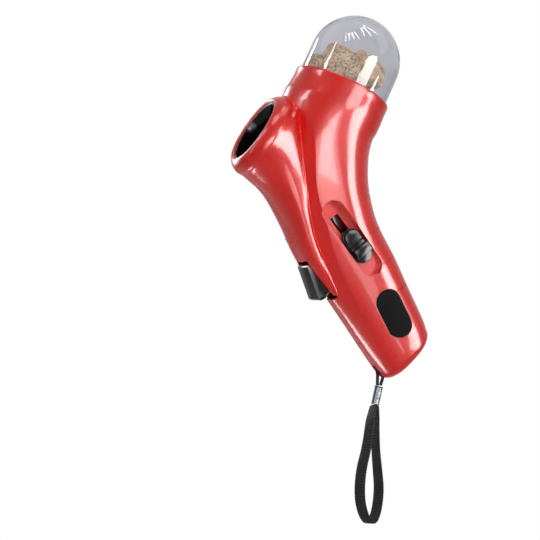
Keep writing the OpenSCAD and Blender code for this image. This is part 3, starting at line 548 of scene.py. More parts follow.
BOSS_R, WELL_R, SCREW_R, WELL_FLOOR = 3.1, 2.7, 1.3, 12
# Where the cross pin is, half the width and depth of the slot under it, and its height
LANYARD, LANYARD_SLOT = (-16, -40.5), (4.7, 2.3, 2.6)
# Trigger pin, and the trigger's pocket for its spring
PIVOT, PIVOT_R, PIVOT_L = (-16, 28), 1.5, 24.8
POCKET, POCKET_R, POCKET_L = (-25.9, 14), 3.7, 12.4
TRIGGER_W, WINDOW, WINDOW_BACK = 16.0, (5.5, 33.5), -13.5
# Place of the thumb knob along the slot, its size, and the heights of its two grooves
KNOB_Z, KNOB_L, KNOB_W, KNOB_EDGE, KNOB_GROOVES = 25.4, 22, 11, 0.45, (3.34, 0.19)
# Walls left under pads and recess and round the recess
PAD_FLOOR, RECESS_FLOOR, RECESS_WALL = 2.2, 1.8, 2
DOME_FOOT, DOME_SHOULDER = 14.8, 17.2
TREAT_H, TREAT_EDGE = 8.4, 3.2
# Beyond the casing's skin on both sides, and beyond its front
OUTSIDE, AHEAD = 30, 100


def bend_row(tilt, front, back, width, edge, edge_fall, fall):
    e, d = across(tilt), (back - front) / 2
    return [BEND_R * (1 - cos(radians(tilt))) + d * e[0],
            BEND_START + BEND_R * sin(radians(tilt)) + d * e[1], tilt,
            (front + back) / 2, width / 2, edge, edge_fall, fall]


def collar_row(back, radius, bulge, edge, edge_fall):
    p = RIM - back * direction(HOPPER_TILT) - bulge / 2 * across(HOPPER_TILT)
    return [p[0], p[1], HOPPER_TILT, radius + bulge / 2, radius, edge, edge_fall, 0]


def tail_row(rise):
    depth, width, z, tilt, edge = TAIL
    inset = edge - sqrt(max(edge * edge - (edge - rise) ** 2, 0))
    return [-3.4, z + rise, -tilt, depth / 2 - inset, width / 2 - inset, -0.7, 0.1, 0.08]


def mouth_row(out, r, width):
    c, e = MOUTH + out * direction(-MOUTH_TILT), across(-MOUTH_TILT)
    return [c[0] - r * e[0], c[1] - r * e[1], c[0] + r * e[0], c[1] + r * e[1], width, 0.5, 2]


# Centre x and z, tilt, half depth, half width, place of the chine, fall past it, side fall
TUBE_ROWS = [
    tail_row(0), tail_row(0.4), tail_row(1.6), tail_row(3.4), tail_row(TAIL[4]),
    [-2.9, -36, -6, (2 * TAIL[0] + GRIP[0]) / 6, (2 * TAIL[1] + GRIP[1]) / 6, -0.7, 0.14, 0.1],
    [-1.6, -14, 0, GRIP[0] / 2, GRIP[1] / 2, -0.68, 0.2, 0.14],
    [-0.4, 5, 0, (GRIP[0] + SLIDE[0]) / 4, (GRIP[1] + SLIDE[1]) / 4, -0.6, 0.26, 0.18],
    [0, BEND_START, 0, SLIDE[0] / 2, SLIDE[1] / 2, -0.48, 0.33, 0.22],
    bend_row(13, (SLIDE[0] + BEND[0]) / 4 - 1.4, (SLIDE[0] + BEND[0]) / 4 + 0.4,
             (SLIDE[1] + BEND[1]) / 2, -0.37, 0.36, 0.22),
    bend_row(28, BEND[0] / 2, BEND[0] / 2, BEND[1], -0.36, 0.36, 0.2),
    bend_row(43, BEND[0] / 2 + 0.4, BEND[0] / 2 + 0.2, (BEND[1] + 2 * COLLAR_R) / 2, -0.43,
             0.34, 0.1),
    bend_row(54, BEND[0] / 2 + 2.2, BEND[0] / 2 + 0.4, 2 * COLLAR_R - 0.8, -0.62, 0.22, 0.04),
    collar_row(COLLAR_L, COLLAR_R + 0.1, 1.4, -0.78, 0.12),
    collar_row(COLLAR_L * 0.7, COLLAR_R + 0.2, 0.6, -0.85, 0.05),
    collar_row(COLLAR_L * 0.3, COLLAR_R, 0, -0.92, 0),
    collar_row(0.8, COLLAR_R, 0, -0.95, 0),
    collar_row(0, COLLAR_R - 0.7, 0, -0.95, 0),
]

# Front x and z, back x and z, half width, place of the widest point, fullness of the back
NOSE_ROWS = [
    mouth_row(0.2, LINER_R + 1, LINER_R + 1),
    mouth_row(0.8, (LINER_R + FACE_R) / 2, (LINER_R + FACE_R) / 2),
    mouth_row(0, FACE_R - 0.2, FACE_R - 0.2),
    mouth_row(-2.6, LIP_R - 1.2, LIP_R - 1.4),
    mouth_row(-6.0, LIP_R, LIP_R - 0.6),
    mouth_row(-9.2, LIP_R - 0.25, LIP_R - 1.35),
    [-23.2, 88.5, 20.8, 108.6, LIP_R - 2.5, 0.5, 2.7],
    [-21.3, 81.5, 12.6, 96.2, 21.3, 0.56, 3.3],
    [-20.4, 74, 3.8, 81, 19.8, 0.6, 4.4],
    [-20.8, 64, -4, 66.4, 18.8, 0.64, 5],
    [-22, 53, -10.6, 52.6, 17, 0.66, 5],
    [-24.2, 41.5, -14.6, 39.6, 15.4, 0.66, 4.6],
    [-25.4, 27, -17.2, 23.6, 13, 0.66, 4],
    [-24.4, 10, -18.2, 6, 9, 0.66, 3],
]


def smoothed(rows, steps):
    """Rows with steps - 1 more between each two, on a curve through all of them."""
    def cubic(a, b, c, d, t):
        return 0.5 * (2 * b + (c - a) * t + (2 * a - 5 * b + 4 * c - d) * t * t
                      + (3 * b - a - 3 * c + d) * t ** 3)
    made, last = [], len(rows) - 1
    for i in range(last):
        near = [rows[max(i - 1, 0)], rows[i], rows[i + 1], rows[min(i + 2, last)]]
        made += [[cubic(*values, k / steps) for values in zip(*near)] for k in range(steps)]
    return made + [list(rows[-1])]


def power(value, bow):
    """A sine or cosine made fuller: 2 leaves the ellipse, more bows it towards a square."""
    return abs(value) ** (2 / bow) * (1 if value >= 0 else -1)


def whole_ring(half, start, e):
    """The ring of which half lists one side's (reach along e, width) points."""
    outline = [(a, -b) for a, b in half[:-1]] + [(a, b) for a, b in half[:0:-1]]
    return [Vector((start[0] + e[0] * a, b, start[1] + e[1] * a)) for a, b in outline]


def tube_ring(row, inset, n):
    """One ring of the main tube, with points drawn together at the chine."""
    x0, z0, tilt, depth, width, edge, edge_fall, fall = row
    bow = 2 + 0.5 * (1 - (max(tilt, 0) / HOPPER_TILT) ** 2)
    turn, split = acos(-abs(edge) ** (bow / 2)), round(n * 0.6)
    half = []
    for k in range(n + 1):
        if k <= split:
            angle = turn * (1 - (1 - k / split) ** 1.3)
        else:
            angle = turn + (pi - turn) * ((k - split) / (n - split)) ** 1.2
        x = power(cos(angle), bow)
        narrow = (1 - fall * max(0, 0.3 - x)) * (1 - edge_fall * max(0, edge - x) / (1 + edge))
        half.append(((depth - inset) * x,
                     (width - inset) * power(max(sin(angle), 0), bow) * narrow))
    return whole_ring(half, (x0, z0), across(tilt))


def nose_ring(row, inset, n):
    """One ring of the nose; an inset one reaches on into the main tube, to join its hollow."""
    fx, fz, bx, bz, width, bulge, bow = row
    d = Vector((bx - fx, bz - fz))
    e = d.normalized()
    reach = 7 * min(1, max(0, (CROSSING + 10 - fz) / 12)) if inset > 0 else 0
    depth = d.length - 2 * inset + reach
    front = depth * bulge
    half = []
    for k in range(n + 1):
        angle = pi * k / n
        run, fullness = (depth - front, bow) if angle <= pi / 2 else (front, 2.1)
        half.append((front + run * power(cos(angle), fullness),
                     (width - inset) * power(max(sin(angle), 0), fullness)))
    return whole_ring(half, Vector((fx, fz)) + inset * e, e)


def tube_skin(inset=0, first=0, last=17, steps=8, n=56):
    """The main tube's skin between two of its rows, moved in by inset."""
    return loft([tube_ring(row, inset, n) for row in smoothed(TUBE_ROWS[first:last + 1], steps)])


def nose_skin(inset=0, first=0, last=13, steps=8, n=48):
    """The nose's skin between two of its rows, moved in by inset."""
    return loft([nose_ring(row, inset, n) for row in smoothed(NOSE_ROWS[first:last + 1], steps)])


def back_point(z):
    """The back's outline point at a height of the handle frame."""
    line = []
    for row in smoothed(TUBE_ROWS[4:13], 4):
        e = across(row[2])
        line.append((row[0] + row[3] * e[0], row[1] + row[3] * e[1]))
    for (x1, z1), (x2, z2) in zip(line, line[1:]):
        if z1 <= z <= z2:
            return Vector((x1 + (x2 - x1) * (z - z1) / (z2 - z1), z))
    raise ValueError("height beyond the back's line")


def seam_points(tube, nose):
    """Points of the line on which the nose dips into the main tube."""
    joined, other = (new_object("joined", bmesh_of(obj), IDENTITY, 1) for obj in (tube, nose))
    marks = [bpy.data.materials.new(name) for name in ("tube_side", "nose_side")]
    for index, obj in enumerate((joined, other)):
        for mark in marks:
            obj.data.materials.append(mark)
        obj.data.polygons.foreach_set("material_index", [index] * len(obj.data.polygons))
    carve(joined, "UNION", other)
    bm = bmesh_of(joined)
    points = [e.verts[0].co.lerp(e.verts[1].co, k / 8) for e in bm.edges
              if len({f.material_index for f in e.link_faces}) == 2 for k in range(8)]
    bm.free()
    bpy.data.objects.remove(joined)
    bpy.data.batch_remove(marks)
    return points


def raise_lip(nose, points, height, reach):
    """Swells the nose along its seam with the tube, as a thin rounded lip."""
    tree = kdtree.KDTree(len(points))
    for i, point in enumerate(points):
        tree.insert(point, i)
    tree.balance()
    bm = bmesh_of(nose)
    near = [e for e in bm.edges
            if min(tree.find(v.co)[2] for v in e.verts) < 4 * reach]
    bmesh.ops.subdivide_edges(bm, edges=near, cuts=2, use_grid_fill=True)
    bm.normal_update()
    moves = [(v, v.normal * height * exp(-(tree.find(v.co)[2] / reach) ** 2))
             for v in bm.verts]
    for vert, move in moves:
        vert.co += move
    bm.to_mesh(nose.data)
    bm.free()


def scoop_drums():
    """Four drums across the back, each leaving one shallow scoop."""
    drums = []
    radius = SCOOP_PITCH ** 2 / (8 * SCOOP_DEPTH)
    for i in range(4):
        upper = back_point(SCOOP_TOP - i * SCOOP_PITCH)
        lower = back_point(SCOOP_TOP - (i + 1) * SCOOP_PITCH)
        run = (upper - lower).normalized()
        c = (upper + lower) / 2 + (radius - SCOOP_DEPTH) * Vector((run[1], -run[0]))
        drums.append((rod, sideways(c[0], c[1], 90), radius, -OUTSIDE, OUTSIDE, 360))
    return solid("drums", *drums)


def back_grooves():
    """Fine grooves across the back, one at the top of each scoop."""
    width = bpy.context.scene.launcher_casing.groove / MM
    discs = []
    for i in range(4):
        z = SCOOP_TOP - i * SCOOP_PITCH
        spot = back_point(z)
        run = (back_point(z + 1) - back_point(z - 1)).normalized()
        place = (Matrix.Translation((spot[0], 0, spot[1]))
                 @ Matrix.Rotation(atan2(run[0], run[1]), 4, "Y"))
        discs.append((rod, place, 25, -width / 2, width / 2, 64))
    core = new_object("core", tube_skin(GROOVE_DEPTH, 4, 13, 6, 48))
    return carve(solid("grooves", *discs), "DIFFERENCE", core)


def in_handle(matrix):
    """A frame of the row seen from the handle frame, in which the casing is drawn."""
    return LEAN.inverted() @ matrix


def pad_frame():
    return Matrix.Translation((-0.6, 0, PAD_Z)) @ Matrix.Rotation(radians(PAD_TURN), 4, "Y")


def pad_bar(side, y, trim=0, segments=64):
    """The round-ended bar of one pad, from y of the handle frame outwards."""
    return (stadium, pad_frame(), PAD_L - trim, PAD_W - trim,
            *sorted((side * y, side * OUTSIDE)), segments)


def casing_hollow():
    """The casing's hollow: what is left inside once floors and bosses are taken out."""
    wall = bpy.context.scene.launcher_casing.wall / MM
    room = new_object("room", tube_skin(wall, 4, 16, 3, 20))
    carve(room, "UNION", new_object("nose_room", nose_skin(wall, 5, 13, 3, 20)))
    floors = solid("floors",
                   (stadium, in_handle(LAUNCH) @ up(RECESS_MID), RECESS_L + 2 * RECESS_WALL,
                    RECESS_W + 2 * RECESS_WALL, -OUTSIDE, -FLOOR_Y + RECESS_FLOOR),
                   *(pad_bar(side, PAD_Y - PAD_FLOOR) for side in (-1, 1)))
    bosses = [solid("boss", (rod, sideways(x, z), BOSS_R, -OUTSIDE, OUTSIDE, 32))
              for x, z in SCREWS]
    return carve(room, "DIFFERENCE", floors, *bosses)


def casing_cuts():
    """Tools for the openings, beds and grooves of the casing."""
    launch, hopper, muzzle = (in_handle(place) for place in (LAUNCH, HOPPER, MUZZLE))
    half_slot, half_window = SLOT_W / 2, TRIGGER_W / 2 + 0.5
    cuts = [
        (rod, hopper, SOCKET_R, HOPPER_L - COLLAR_L, HOPPER_L + 20, 192),
        (rod, muzzle, LINER_R + 0.05, LINER_FROM, 80, 160),
        (rod, launch, BREECH_R, *BREECH, 96),
        (stadium, launch @ up(RECESS_MID), RECESS_L, RECESS_W, -OUTSIDE, -FLOOR_Y, 96),
        (block, launch, (-half_slot, -OUTSIDE, SLOT[0]), (half_slot, -10, SLOT[1])),
        *(pad_bar(side, PAD_Y, segments=96) for side in (-1, 1)),
        (block, IDENTITY, (-AHEAD, -half_window, WINDOW[0]),
         (WINDOW_BACK, half_window, WINDOW[1])),
        (block, Matrix.Translation((LANYARD[0], 0, LANYARD[1])) @ LEAN.inverted(),
         (-LANYARD_SLOT[0], -LANYARD_SLOT[1], -OUTSIDE), LANYARD_SLOT),
    ]
    for x, z in SCREWS:
        cuts += [(rod, sideways(x, z), WELL_R, WELL_FLOOR, 42, 48),
                 (rod, sideways(x, z), SCREW_R, -10, WELL_FLOOR + 0.5, 24)]
    return [solid("cut", cut) for cut in cuts] + [scoop_drums(), back_grooves()]


def half_shell(whole, name, side, gap):
    """One half of the casing, cut at the parting plane and closed there."""
    bm = bmesh_of(whole)
    found = bmesh.ops.bisect_plane(bm, geom=bm.verts[:] + bm.edges[:] + bm.faces[:],
                                   dist=1e-7, plane_co=(0, side * gap / 2, 0),
                                   plane_no=(0, -side, 0), clear_outer=True)["geom_cut"]
    edges = [g for g in found if isinstance(g, bmesh.types.BMEdge)]
    bmesh.ops.triangle_fill(bm, use_beauty=True, edges=edges, normal=(0, -side, 0))
    return new_object(name, bm, IDENTITY, 1, 32)


class LAUNCHER_OT_casing(bpy.types.Operator):
    """Moulds the two glossy half shells"""

    bl_idname = "launcher.casing"
    bl_label = "Casing"

    def execute(self, context):
        look = context.scene.launcher_casing
        whole = new_object("casing", tube_skin(steps=10, n=72))
        nose = new_object("nose", nose_skin(steps=8, n=60))
        raise_lip(nose, seam_points(whole, nose), look.lip * 1.2, look.lip * 1.3)
        carve(whole, "UNION", nose)
        carve(whole, "DIFFERENCE", casing_hollow(), *casing_cuts())
        material = red_plastic()
        for name, side, node in (("left_half", -1, "left_shell"),
                                 ("right_half", 1, "right_shell")):
            half = half_shell(whole, name, side, look.parting)
            dress(half, node, material, "casing")
        bpy.data.objects.remove(whole)
        return {"FINISHED"}


class LAUNCHER_OT_dome(bpy.types.Operator):
    """Moulds the clear hopper dome and its skirt"""

    bl_idname = "launcher.dome"
    bl_label = "Hopper dome"

    def execute(self, context):
        look = context.scene.launcher_hopper
        r, w = look.radius / MM, look.wall / MM
        bottom, top = HOPPER_L - DOME_FOOT, HOPPER_L + DOME_SHOULDER
        outer, inner = ([(s * cos(pi / 2 * k / 40), top + s * sin(pi / 2 * k / 40))
                         for k in range(40)] + [(0, top + s)] for s in (r, r - w))
        bm = turned([(r, bottom), *outer, *reversed(inner), (r - w, bottom)], 160)
        dress(new_object("clear_dome", bm, HOPPER, MM, 40), "hopper_dome", clear_plastic(),
              "dome")
        return {"FINISHED"}


TREATS = [
    # centre in the row frame (mm), turn about Z and tilt (degrees), radius
    ((-19.0, -13.0, 124.0), -12, 68, 10.8),
    ((-15.5, 1.0, 131.0), 12, 50, 9.4),
    ((-31.5, -3.0, 122.5), -66, 80, 9.6),
    ((0.0, -9.0, 122.5), 35, 66, 10.6),
    ((3.5, 4.0, 127.0), 60, 52, 10.3),
    ((-21.0, 8.0, 116.0), 10, 30, 10.0),
    ((-8.0, -2.0, 113.5), -30, 25, 10.4),
    ((-24.0, -8.0, 110.0), 40, 20, 10.0),
    ((-19.0, 3.0, 104.0), -15, 35, 10.1),
]


class LAUNCHER_OT_treats(bpy.types.Operator):
    """Bakes round treats and heaps them in the hopper"""

    bl_idname = "launcher.treats"
    bl_label = "Treats"

    def execute(self, context):
        look = context.scene.launcher_hopper
        material = biscuit()
        for i, (centre, turn, tilt, radius) in enumerate(TREATS[:look.treats]):
            bm = bmesh.new()
            bmesh.ops.create_cone(bm, cap_ends=True, cap_tris=False, segments=40,
                                  radius1=radius, radius2=radius, depth=TREAT_H)
            soften(bm, TREAT_EDGE, 4)
            caps = [f for f in bm.faces if len(f.verts) > 8]
            for cap in caps:
                for _ in range(3):
                    bmesh.ops.inset_region(bm, faces=[cap], thickness=radius * 0.2,
                                           use_even_offset=True)
            bmesh.ops.triangulate(bm, faces=[f for f in bm.faces if len(f.verts) > 8])
            for vert in bm.verts:
                seed = Vector((i * 7.3, i * 3.1, 0))
                lump = noise.noise(vert.co * 0.12 + seed) * 0.9
                pit = noise.noise(vert.co * 0.5 + seed) * 0.35
                away = Vector((vert.co.x, vert.co.y, vert.co.z * 1.5)).normalized()
                vert.co += away * (lump + pit)
            place = (Matrix.Translation(centre) @ Matrix.Rotation(radians(turn), 4, "Z")
                     @ Matrix.Rotation(radians(tilt), 4, "X"))
            treat = new_object(f"treat_{i + 1}", bm, place, MM, 180)
            treat.data.materials.append(material)
            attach(treat, "casing")
        return {"FINISHED"}


class LAUNCHER_OT_muzzle(bpy.types.Operator):
    """Lines the mouth with its black tube"""

    bl_idname = "launcher.muzzle"
    bl_label = "Muzzle liner"

    def execute(self, context):
        liner = copy_of("muzzle_liner", "mouth_liner")
        round_edges(liner, 0.0003)
        dress(liner, "muzzle_liner", black_gloss(), "casing")
        return {"FINISHED"}


class LAUNCHER_OT_slide(bpy.types.Operator):
    """Shapes the thumb knob"""

    bl_idname = "launcher.slide"
    bl_label = "Thumb slide"

    def execute(self, context):
        place = in_handle(LAUNCH) @ Matrix.Translation((0, -FLOOR_Y - 0.1, KNOB_Z))
        rounded = (soften, KNOB_EDGE)
        knob = solid("thumb_knob", (stadium, place, KNOB_L, KNOB_W, -3, 0, 48), rounded)
        cap = solid("cap", (stadium, place, KNOB_L - 1.4, KNOB_W - 1.4, -5.6, 0.2, 48), rounded)
        lower_half = solid("lower_half", (block, place, (-8, -9, -14), (8, 1, -4.94)))
        grooves = solid("grooves", *((rod, place @ Matrix.Translation((0, -5.9, z)) @ ALONG_X,
                                      1.5, -8, 8, 48) for z in KNOB_GROOVES))
        carve(cap, "DIFFERENCE", lower_half, grooves)
        low = solid("low", (stadium, place, KNOB_L - 1, KNOB_W - 1, -4.7, 0.1, 48), rounded)
        ridge = solid("ridge", (block, place, (-5.1, -7.8, -5.94), (5.1, -0.3, -0.44)), rounded)
        carve(knob, "UNION", cap, low, ridge)
        knob.data.set_sharp_from_angle(angle=radians(30))
        dress(knob, "slide_knob", bpy.data.materials["gloss_black_abs"], "plunger")
        return {"FINISHED"}


class LAUNCHER_OT_trigger(bpy.types.Operator):
    """Shapes the trigger"""

    bl_idname = "launcher.trigger"
    bl_label = "Trigger"

    def execute(self, context):
        trigger = copy_of("trigger", "finger_trigger")
        # Its spring keeps its rest length, so the pocket leaves it room at full pull
        place = Matrix.Translation((POCKET[0], 0, POCKET[1])) @ ALONG_X
        carve(trigger, "DIFFERENCE", solid("pocket", (rod, place, POCKET_R, 0, POCKET_L, 48)))
        round_edges(trigger, 0.0006)
        dress(trigger, "trigger", bpy.data.materials["gloss_black_abs"], "trigger")
        return {"FINISHED"}


class LAUNCHER_OT_pads(bpy.types.Operator):
    """Lays the two rubber grip pads in their beds"""

    bl_idname = "launcher.pads"
    bl_label = "Grip pads"

    def execute(self, context):
        material = black_rubber()
        for side, name, node in ((-1, "pad_left", "grip_pad_left"),
                                 (1, "pad_right", "grip_pad_right")):
            pad = new_object(name, tube_skin(0, 3, 9))
            carve(pad, "INTERSECT", solid("bed", pad_bar(side, PAD_Y + 0.02, 2 * PAD_GAP, 96)))
            pad.data.set_sharp_from_angle(angle=radians(30))
            dress(pad, node, material, "casing")
        return {"FINISHED"}


WORKS = [
    # CAD node, piece, body, slot
    ("dome_seal", "seal_ring", "casing", "black_rubber"),
    ("hopper_funnel", "funnel", "casing", "grey_plastic"),
    ("breech_tube", "breech", "casing", "grey_plastic"),
    ("bumper_ring", "bumper", "casing", "black_rubber"),
    ("spring_seat", "seat_plate", "casing", "grey_plastic"),
    ("plunger_head", "piston", "plunger", "black_plastic"),
    ("carriage", "slide_carriage", "plunger", "black_plastic"),
    ("plunger_rod", "piston_rod", "plunger", "steel"),
    ("rod_clip", "retaining_clip", "plunger", "steel"),
    ("knob_screw", "slide_screw", "plunger", "steel"),
    ("main_spring", "spring", "casing", "steel"),
    ("trigger_spring", "return_spring", "casing", "steel"),
    ("lanyard_pin", "cross_pin", "casing", "steel"),
    ("shell_screws", "case_screws", "casing", "steel"),
]


class LAUNCHER_OT_works(bpy.types.Operator):
    """Finishes the inner works: funnel, breech, plunger, springs, screws and pins"""

    bl_idname = "launcher.works"
    bl_label = "Inner works"

    def execute(self, context):
        finishes = {"black_rubber": bpy.data.materials["matt_black_rubber"],
                    "grey_plastic": grey_satin(), "black_plastic": black_satin(),
                    "steel": bright_metal("zinc_plated_steel", "#85888d", "#9a9da2", 0.32, 1.2)}
        for node, name, body, slot in WORKS:
            dress(copy_of(node, name), node, finishes[slot], body)
        pin = solid("pivot_pin", (rod, sideways(*PIVOT, 90), PIVOT_R, -PIVOT_L / 2, PIVOT_L / 2,
                                  32))
        dress(pin, "trigger_pin", finishes["steel"], "casing")
        return {"FINISHED"}


# ---------------------------------------------------------------- wrist strap

# Radii of cross pin and cord, then points of the row frame: the cross pin's middle and both
# ends of the sleeve (mm)
LANYARD_PIN_R, CORD_R = 1.25, 1
EYE = Vector((10.124, 0, -42.353))
SLEEVE_TOP = EYE + Vector((-1.024, 0, -16.247))
SLEEVE_END = SLEEVE_TOP + Vector((-2.8, 0, -11.4))
# The loop hangs in a plane turned by this from the casing's middle plane; its route is how
# far out and how far up from the sleeve's end
LOOP_TURN = radians(42.5)
LOOP_OUT = Vector((-cos(LOOP_TURN), -sin(LOOP_TURN), 0))
LOOP_ACROSS = Vector((-sin(LOOP_TURN), cos(LOOP_TURN), 0))
LOOP_ROUTE = [(0.9, 0), (3.2, -3.4), (6, -8), (7.8, -14), (9.6, -20), (12.4, -26.5),
              (16.2, -33), (18.8, -40), (19.8, -47), (19, -54), (15.6, -60.6), (11, -65.2),
              (6.2, -67.3), (1.6, -65.8), (-2.4, -61), (-5, -54), (-5.6, -47), (-4.4, -40),
              (-3, -33), (-1.8, -26.5), (-1.4, -20), (-1.4, -14), (-1.6, -8), (-1.4, -3.4),
              (-0.9, 0)]


def cord_route():
    """Up from the sleeve, once round the cross pin and back."""
    loop_r = LANYARD_PIN_R + CORD_R + 0.1
    points = [SLEEVE_TOP + Vector((-1.05, 0, 0.1)), EYE + Vector((-1.92, 0, -11.65)),
              EYE + Vector((-2.42, 0, -5.65))]
    points += [EYE + loop_r * Vector((cos(radians(a)), 0, sin(radians(a))))
               for a in range(180, -1, -30)]
    return points + [EYE + Vector((2.08, 0, -5.65)), EYE + Vector((1.18, 0, -11.65)),
                     SLEEVE_TOP + Vector((1.05, 0, 0.1))]


def swept(points, section, lateral, twist=lambda share: 0.0):
    """Skin along points; section gives its (side, above) pairs in mm at a place along the
    length, lateral the side's direction, and twist the section's turn, in degrees, at a
    share of the length."""
    rings, marks, run, whole = [], [], 0.0, length_of(points)
    for i, point in enumerate(points):
        if i:
            run += (point - points[i - 1]).length
        ahead = (points[min(i + 1, len(points) - 1)] - points[max(i - 1, 0)]).normalized()
        side = (lateral - lateral.dot(ahead) * ahead).normalized()
        side = Quaternion(ahead, radians(twist(run / whole))) @ side
        above = ahead.cross(side)
        outline = section(run)
        rings.append([point + side * a + above * b for a, b in outline])
        marks.append([(a, run, b) for a, b in outline])
    return loft(rings, marks)


def length_of(points):
    return sum((b - a).length for a, b in zip(points, points[1:]))


class LAUNCHER_OT_strap(bpy.types.Operator):
    """Hangs the wrist strap: thin cord round its pin, crimped sleeve and woven loop"""

    bl_idname = "launcher.strap"
    bl_label = "Wrist strap"

    def execute(self, context):
        look = context.scene.launcher_strap
        sleeve = self.sleeve()
        fabric = webbing(look.rib)
        route = [Vector(p) for p in smoothed(cord_route(), 5)]
        d = look.cord / MM

        def strands(run):
            """Three strands laid together, turning once in 7 mm."""
            outline = []
            for k in range(24):
                a = 2 * pi * k / 24
                r = (d / 2) * (0.92 + 0.08 * cos(3 * a + 2 * pi * run / 7))
                outline.append((r * cos(a), r * sin(a)))
            return outline

        cord = new_object("thin_cord", swept(route, strands, Vector((0, 1, 0))), IDENTITY, MM,
                          60)
        dress(cord, "strap_cord", fabric, "casing")

        loop = [SLEEVE_END + a * LOOP_OUT + Vector((0, 0, b))
                for a, b in smoothed([Vector(p) for p in LOOP_ROUTE], 6)]
        w, t = look.tape / MM / 2, 0.65

        def tape(run):
            """Flat tape with soft selvedges."""
            outline = []
            for k in range(36):
                a = 2 * pi * k / 36
                outline.append((w * power(cos(a), 6), t * power(sin(a), 3)))
            return outline

        def turn(share):
            """Both strands leave the sleeve with an edge to the camera."""
            return 24 * exp(-(share / 0.16) ** 2) - 28 * exp(-((1 - share) / 0.25) ** 2)

        band = new_object("wrist_tape", swept(loop, tape, LOOP_ACROSS, turn), IDENTITY, MM, 50)
        dress(band, "strap_loop", fabric, "casing")
        return {"FINISHED"}

    def sleeve(self):
        """Squared tube, flared at its ends and pinched twice."""
        axis = SLEEVE_TOP - SLEEVE_END
        tilt = atan2(axis.x, axis.z)
        rings = []
        run = axis.length
        for k in range(41):
            z = 0.6 + (run - 1.0) * k / 40
            # Distance from the nearer end
            end = min(z - 0.6, run - 0.4 - z)
            flare = 0.25 * max(0, 1 - end / 0.9) ** 2
            pinch = 0.05 * sum(max(0, 1 - ((z - run * c) / 1.1) ** 2) for c in (0.3, 0.7))
            rings.append([Vector(((2.4 + flare) * power(cos(a), 2.4),
                                  (1.8 + flare - pinch * abs(sin(a)) ** 6) * power(sin(a), 2.4),
                                  z)) for a in [2 * pi * j / 40 for j in range(40)]])
        place = Matrix.Translation(SLEEVE_END) @ Matrix.Rotation(tilt, 4, "Y")
        sleeve = new_object("crimped_sleeve", loft(rings), place, MM, 35)
        plate = bright_metal("bright_nickel_plate", "#383b3f", "#44474b", 0.3, 0.3)
        dress(sleeve, "strap_ferrule", plate, "casing")
        return sleeve


# ---------------------------------------------------------------- camera, light, floor

AIM = Vector((-0.05805, 0, 0.00855))
CAMERA_AZIMUTH, LENS = -19.5, 140.35
FLOOR_R, FLOOR_DROP = 2.2, 0.3


def outward(azimuth, elevation):
    """Direction out of the object at these angles; azimuth 0 is the thumb slide's side."""
    a, e = radians(azimuth), radians(elevation)
    return Vector((sin(a) * cos(e), -cos(a) * cos(e), sin(e)))


class LAUNCHER_OT_camera(bpy.types.Operator):
    """Sets the camera at the photograph's angle"""

    bl_idname = "launcher.camera"
    bl_label = "Camera"

    def execute(self, context):
        data = bpy.data.cameras.new("camera")
        data.lens = LENS
        data.sensor_width = 36
        data.clip_start, data.clip_end = 0.05, 50
        camera = bpy.data.objects.new("camera", data)
        camera.location = AIM + context.scene.launcher_stage.distance * outward(CAMERA_AZIMUTH, 0)
        camera.rotation_euler = (AIM - camera.location).to_track_quat("-Z", "Y").to_euler()
        context.scene.collection.objects.link(camera)
        context.scene.camera = camera
        return {"FINISHED"}


# Soft lamps that light the object, then bright cards that only gloss shows. Each row is
# name, aim (mm), azimuth, elevation, distance, width, height, roll, radiance.
MIDDLE, NOSE, DOME = (-58, 0, 8.5), (-54, -20, 77), (-6, 0, 129)
RIM_SPOT, COLLAR_SPOT, LIP_SPOT = (-16, -29, 107), (-42, -18, 108), (-74, -12, 66)
FLANK_SPOT = (-30, -26, 78)
LAMPS = [
    ("key", MIDDLE, 8, 20, 1.3, 0.6, 0.7, 0, 5.3),
    ("fill", MIDDLE, -60, 25, 1.3, 0.6, 0.6, 0, 1.3),
    ("rear", MIDDLE, 200, 20, 1.3, 0.6, 0.6, 0, 5),
    ("rear_side", MIDDLE, 125, 25, 1.3, 0.5, 0.6, 0, 2.5),
    ("top", MIDDLE, 0, 80, 1.3, 0.7, 0.5, 0, 2.0),
]
CARDS = [
    ("flank_card", FLANK_SPOT, -7, -5, 0.35, 0.15, 0.1, 0, 16),
    ("broad_card", MIDDLE, -8, -12, 1.2, 0.86, 0.72, 0, 7),
    ("rim_card", RIM_SPOT, 26, 5, 0.3, 0.15, 0.09, 0, 17),
    ("collar_card", COLLAR_SPOT, -88, 33, 1.2, 0.54, 0.14, 38, 22),
    ("lip_card", LIP_SPOT, -150, -66, 0.3, 0.05, 0.09, 0, 18),
    ("side_card", MIDDLE, -95, 14, 1.1, 0.12, 0.5, 0, 8),
    ("rear_card", MIDDLE, 205, 14, 1.25, 0.5, 0.8, 0, 9),
    ("nose_card", NOSE, 49, -15, 0.36, 0.19, 0.19, 0, 26),
]
CARDS += [(f"tube_{k + 1}", DOME, -56 + 15 * k, 57 + 2 * k, 1.2, 0.07, 0.5, 20, 14)
          for k in range(4)]
CARDS += [(f"tube_{k + 5}", DOME, 30 + 26 * k, 69 - 3 * k, 1.2, 0.07, 0.55, -25, 12)
          for k in range(3)]


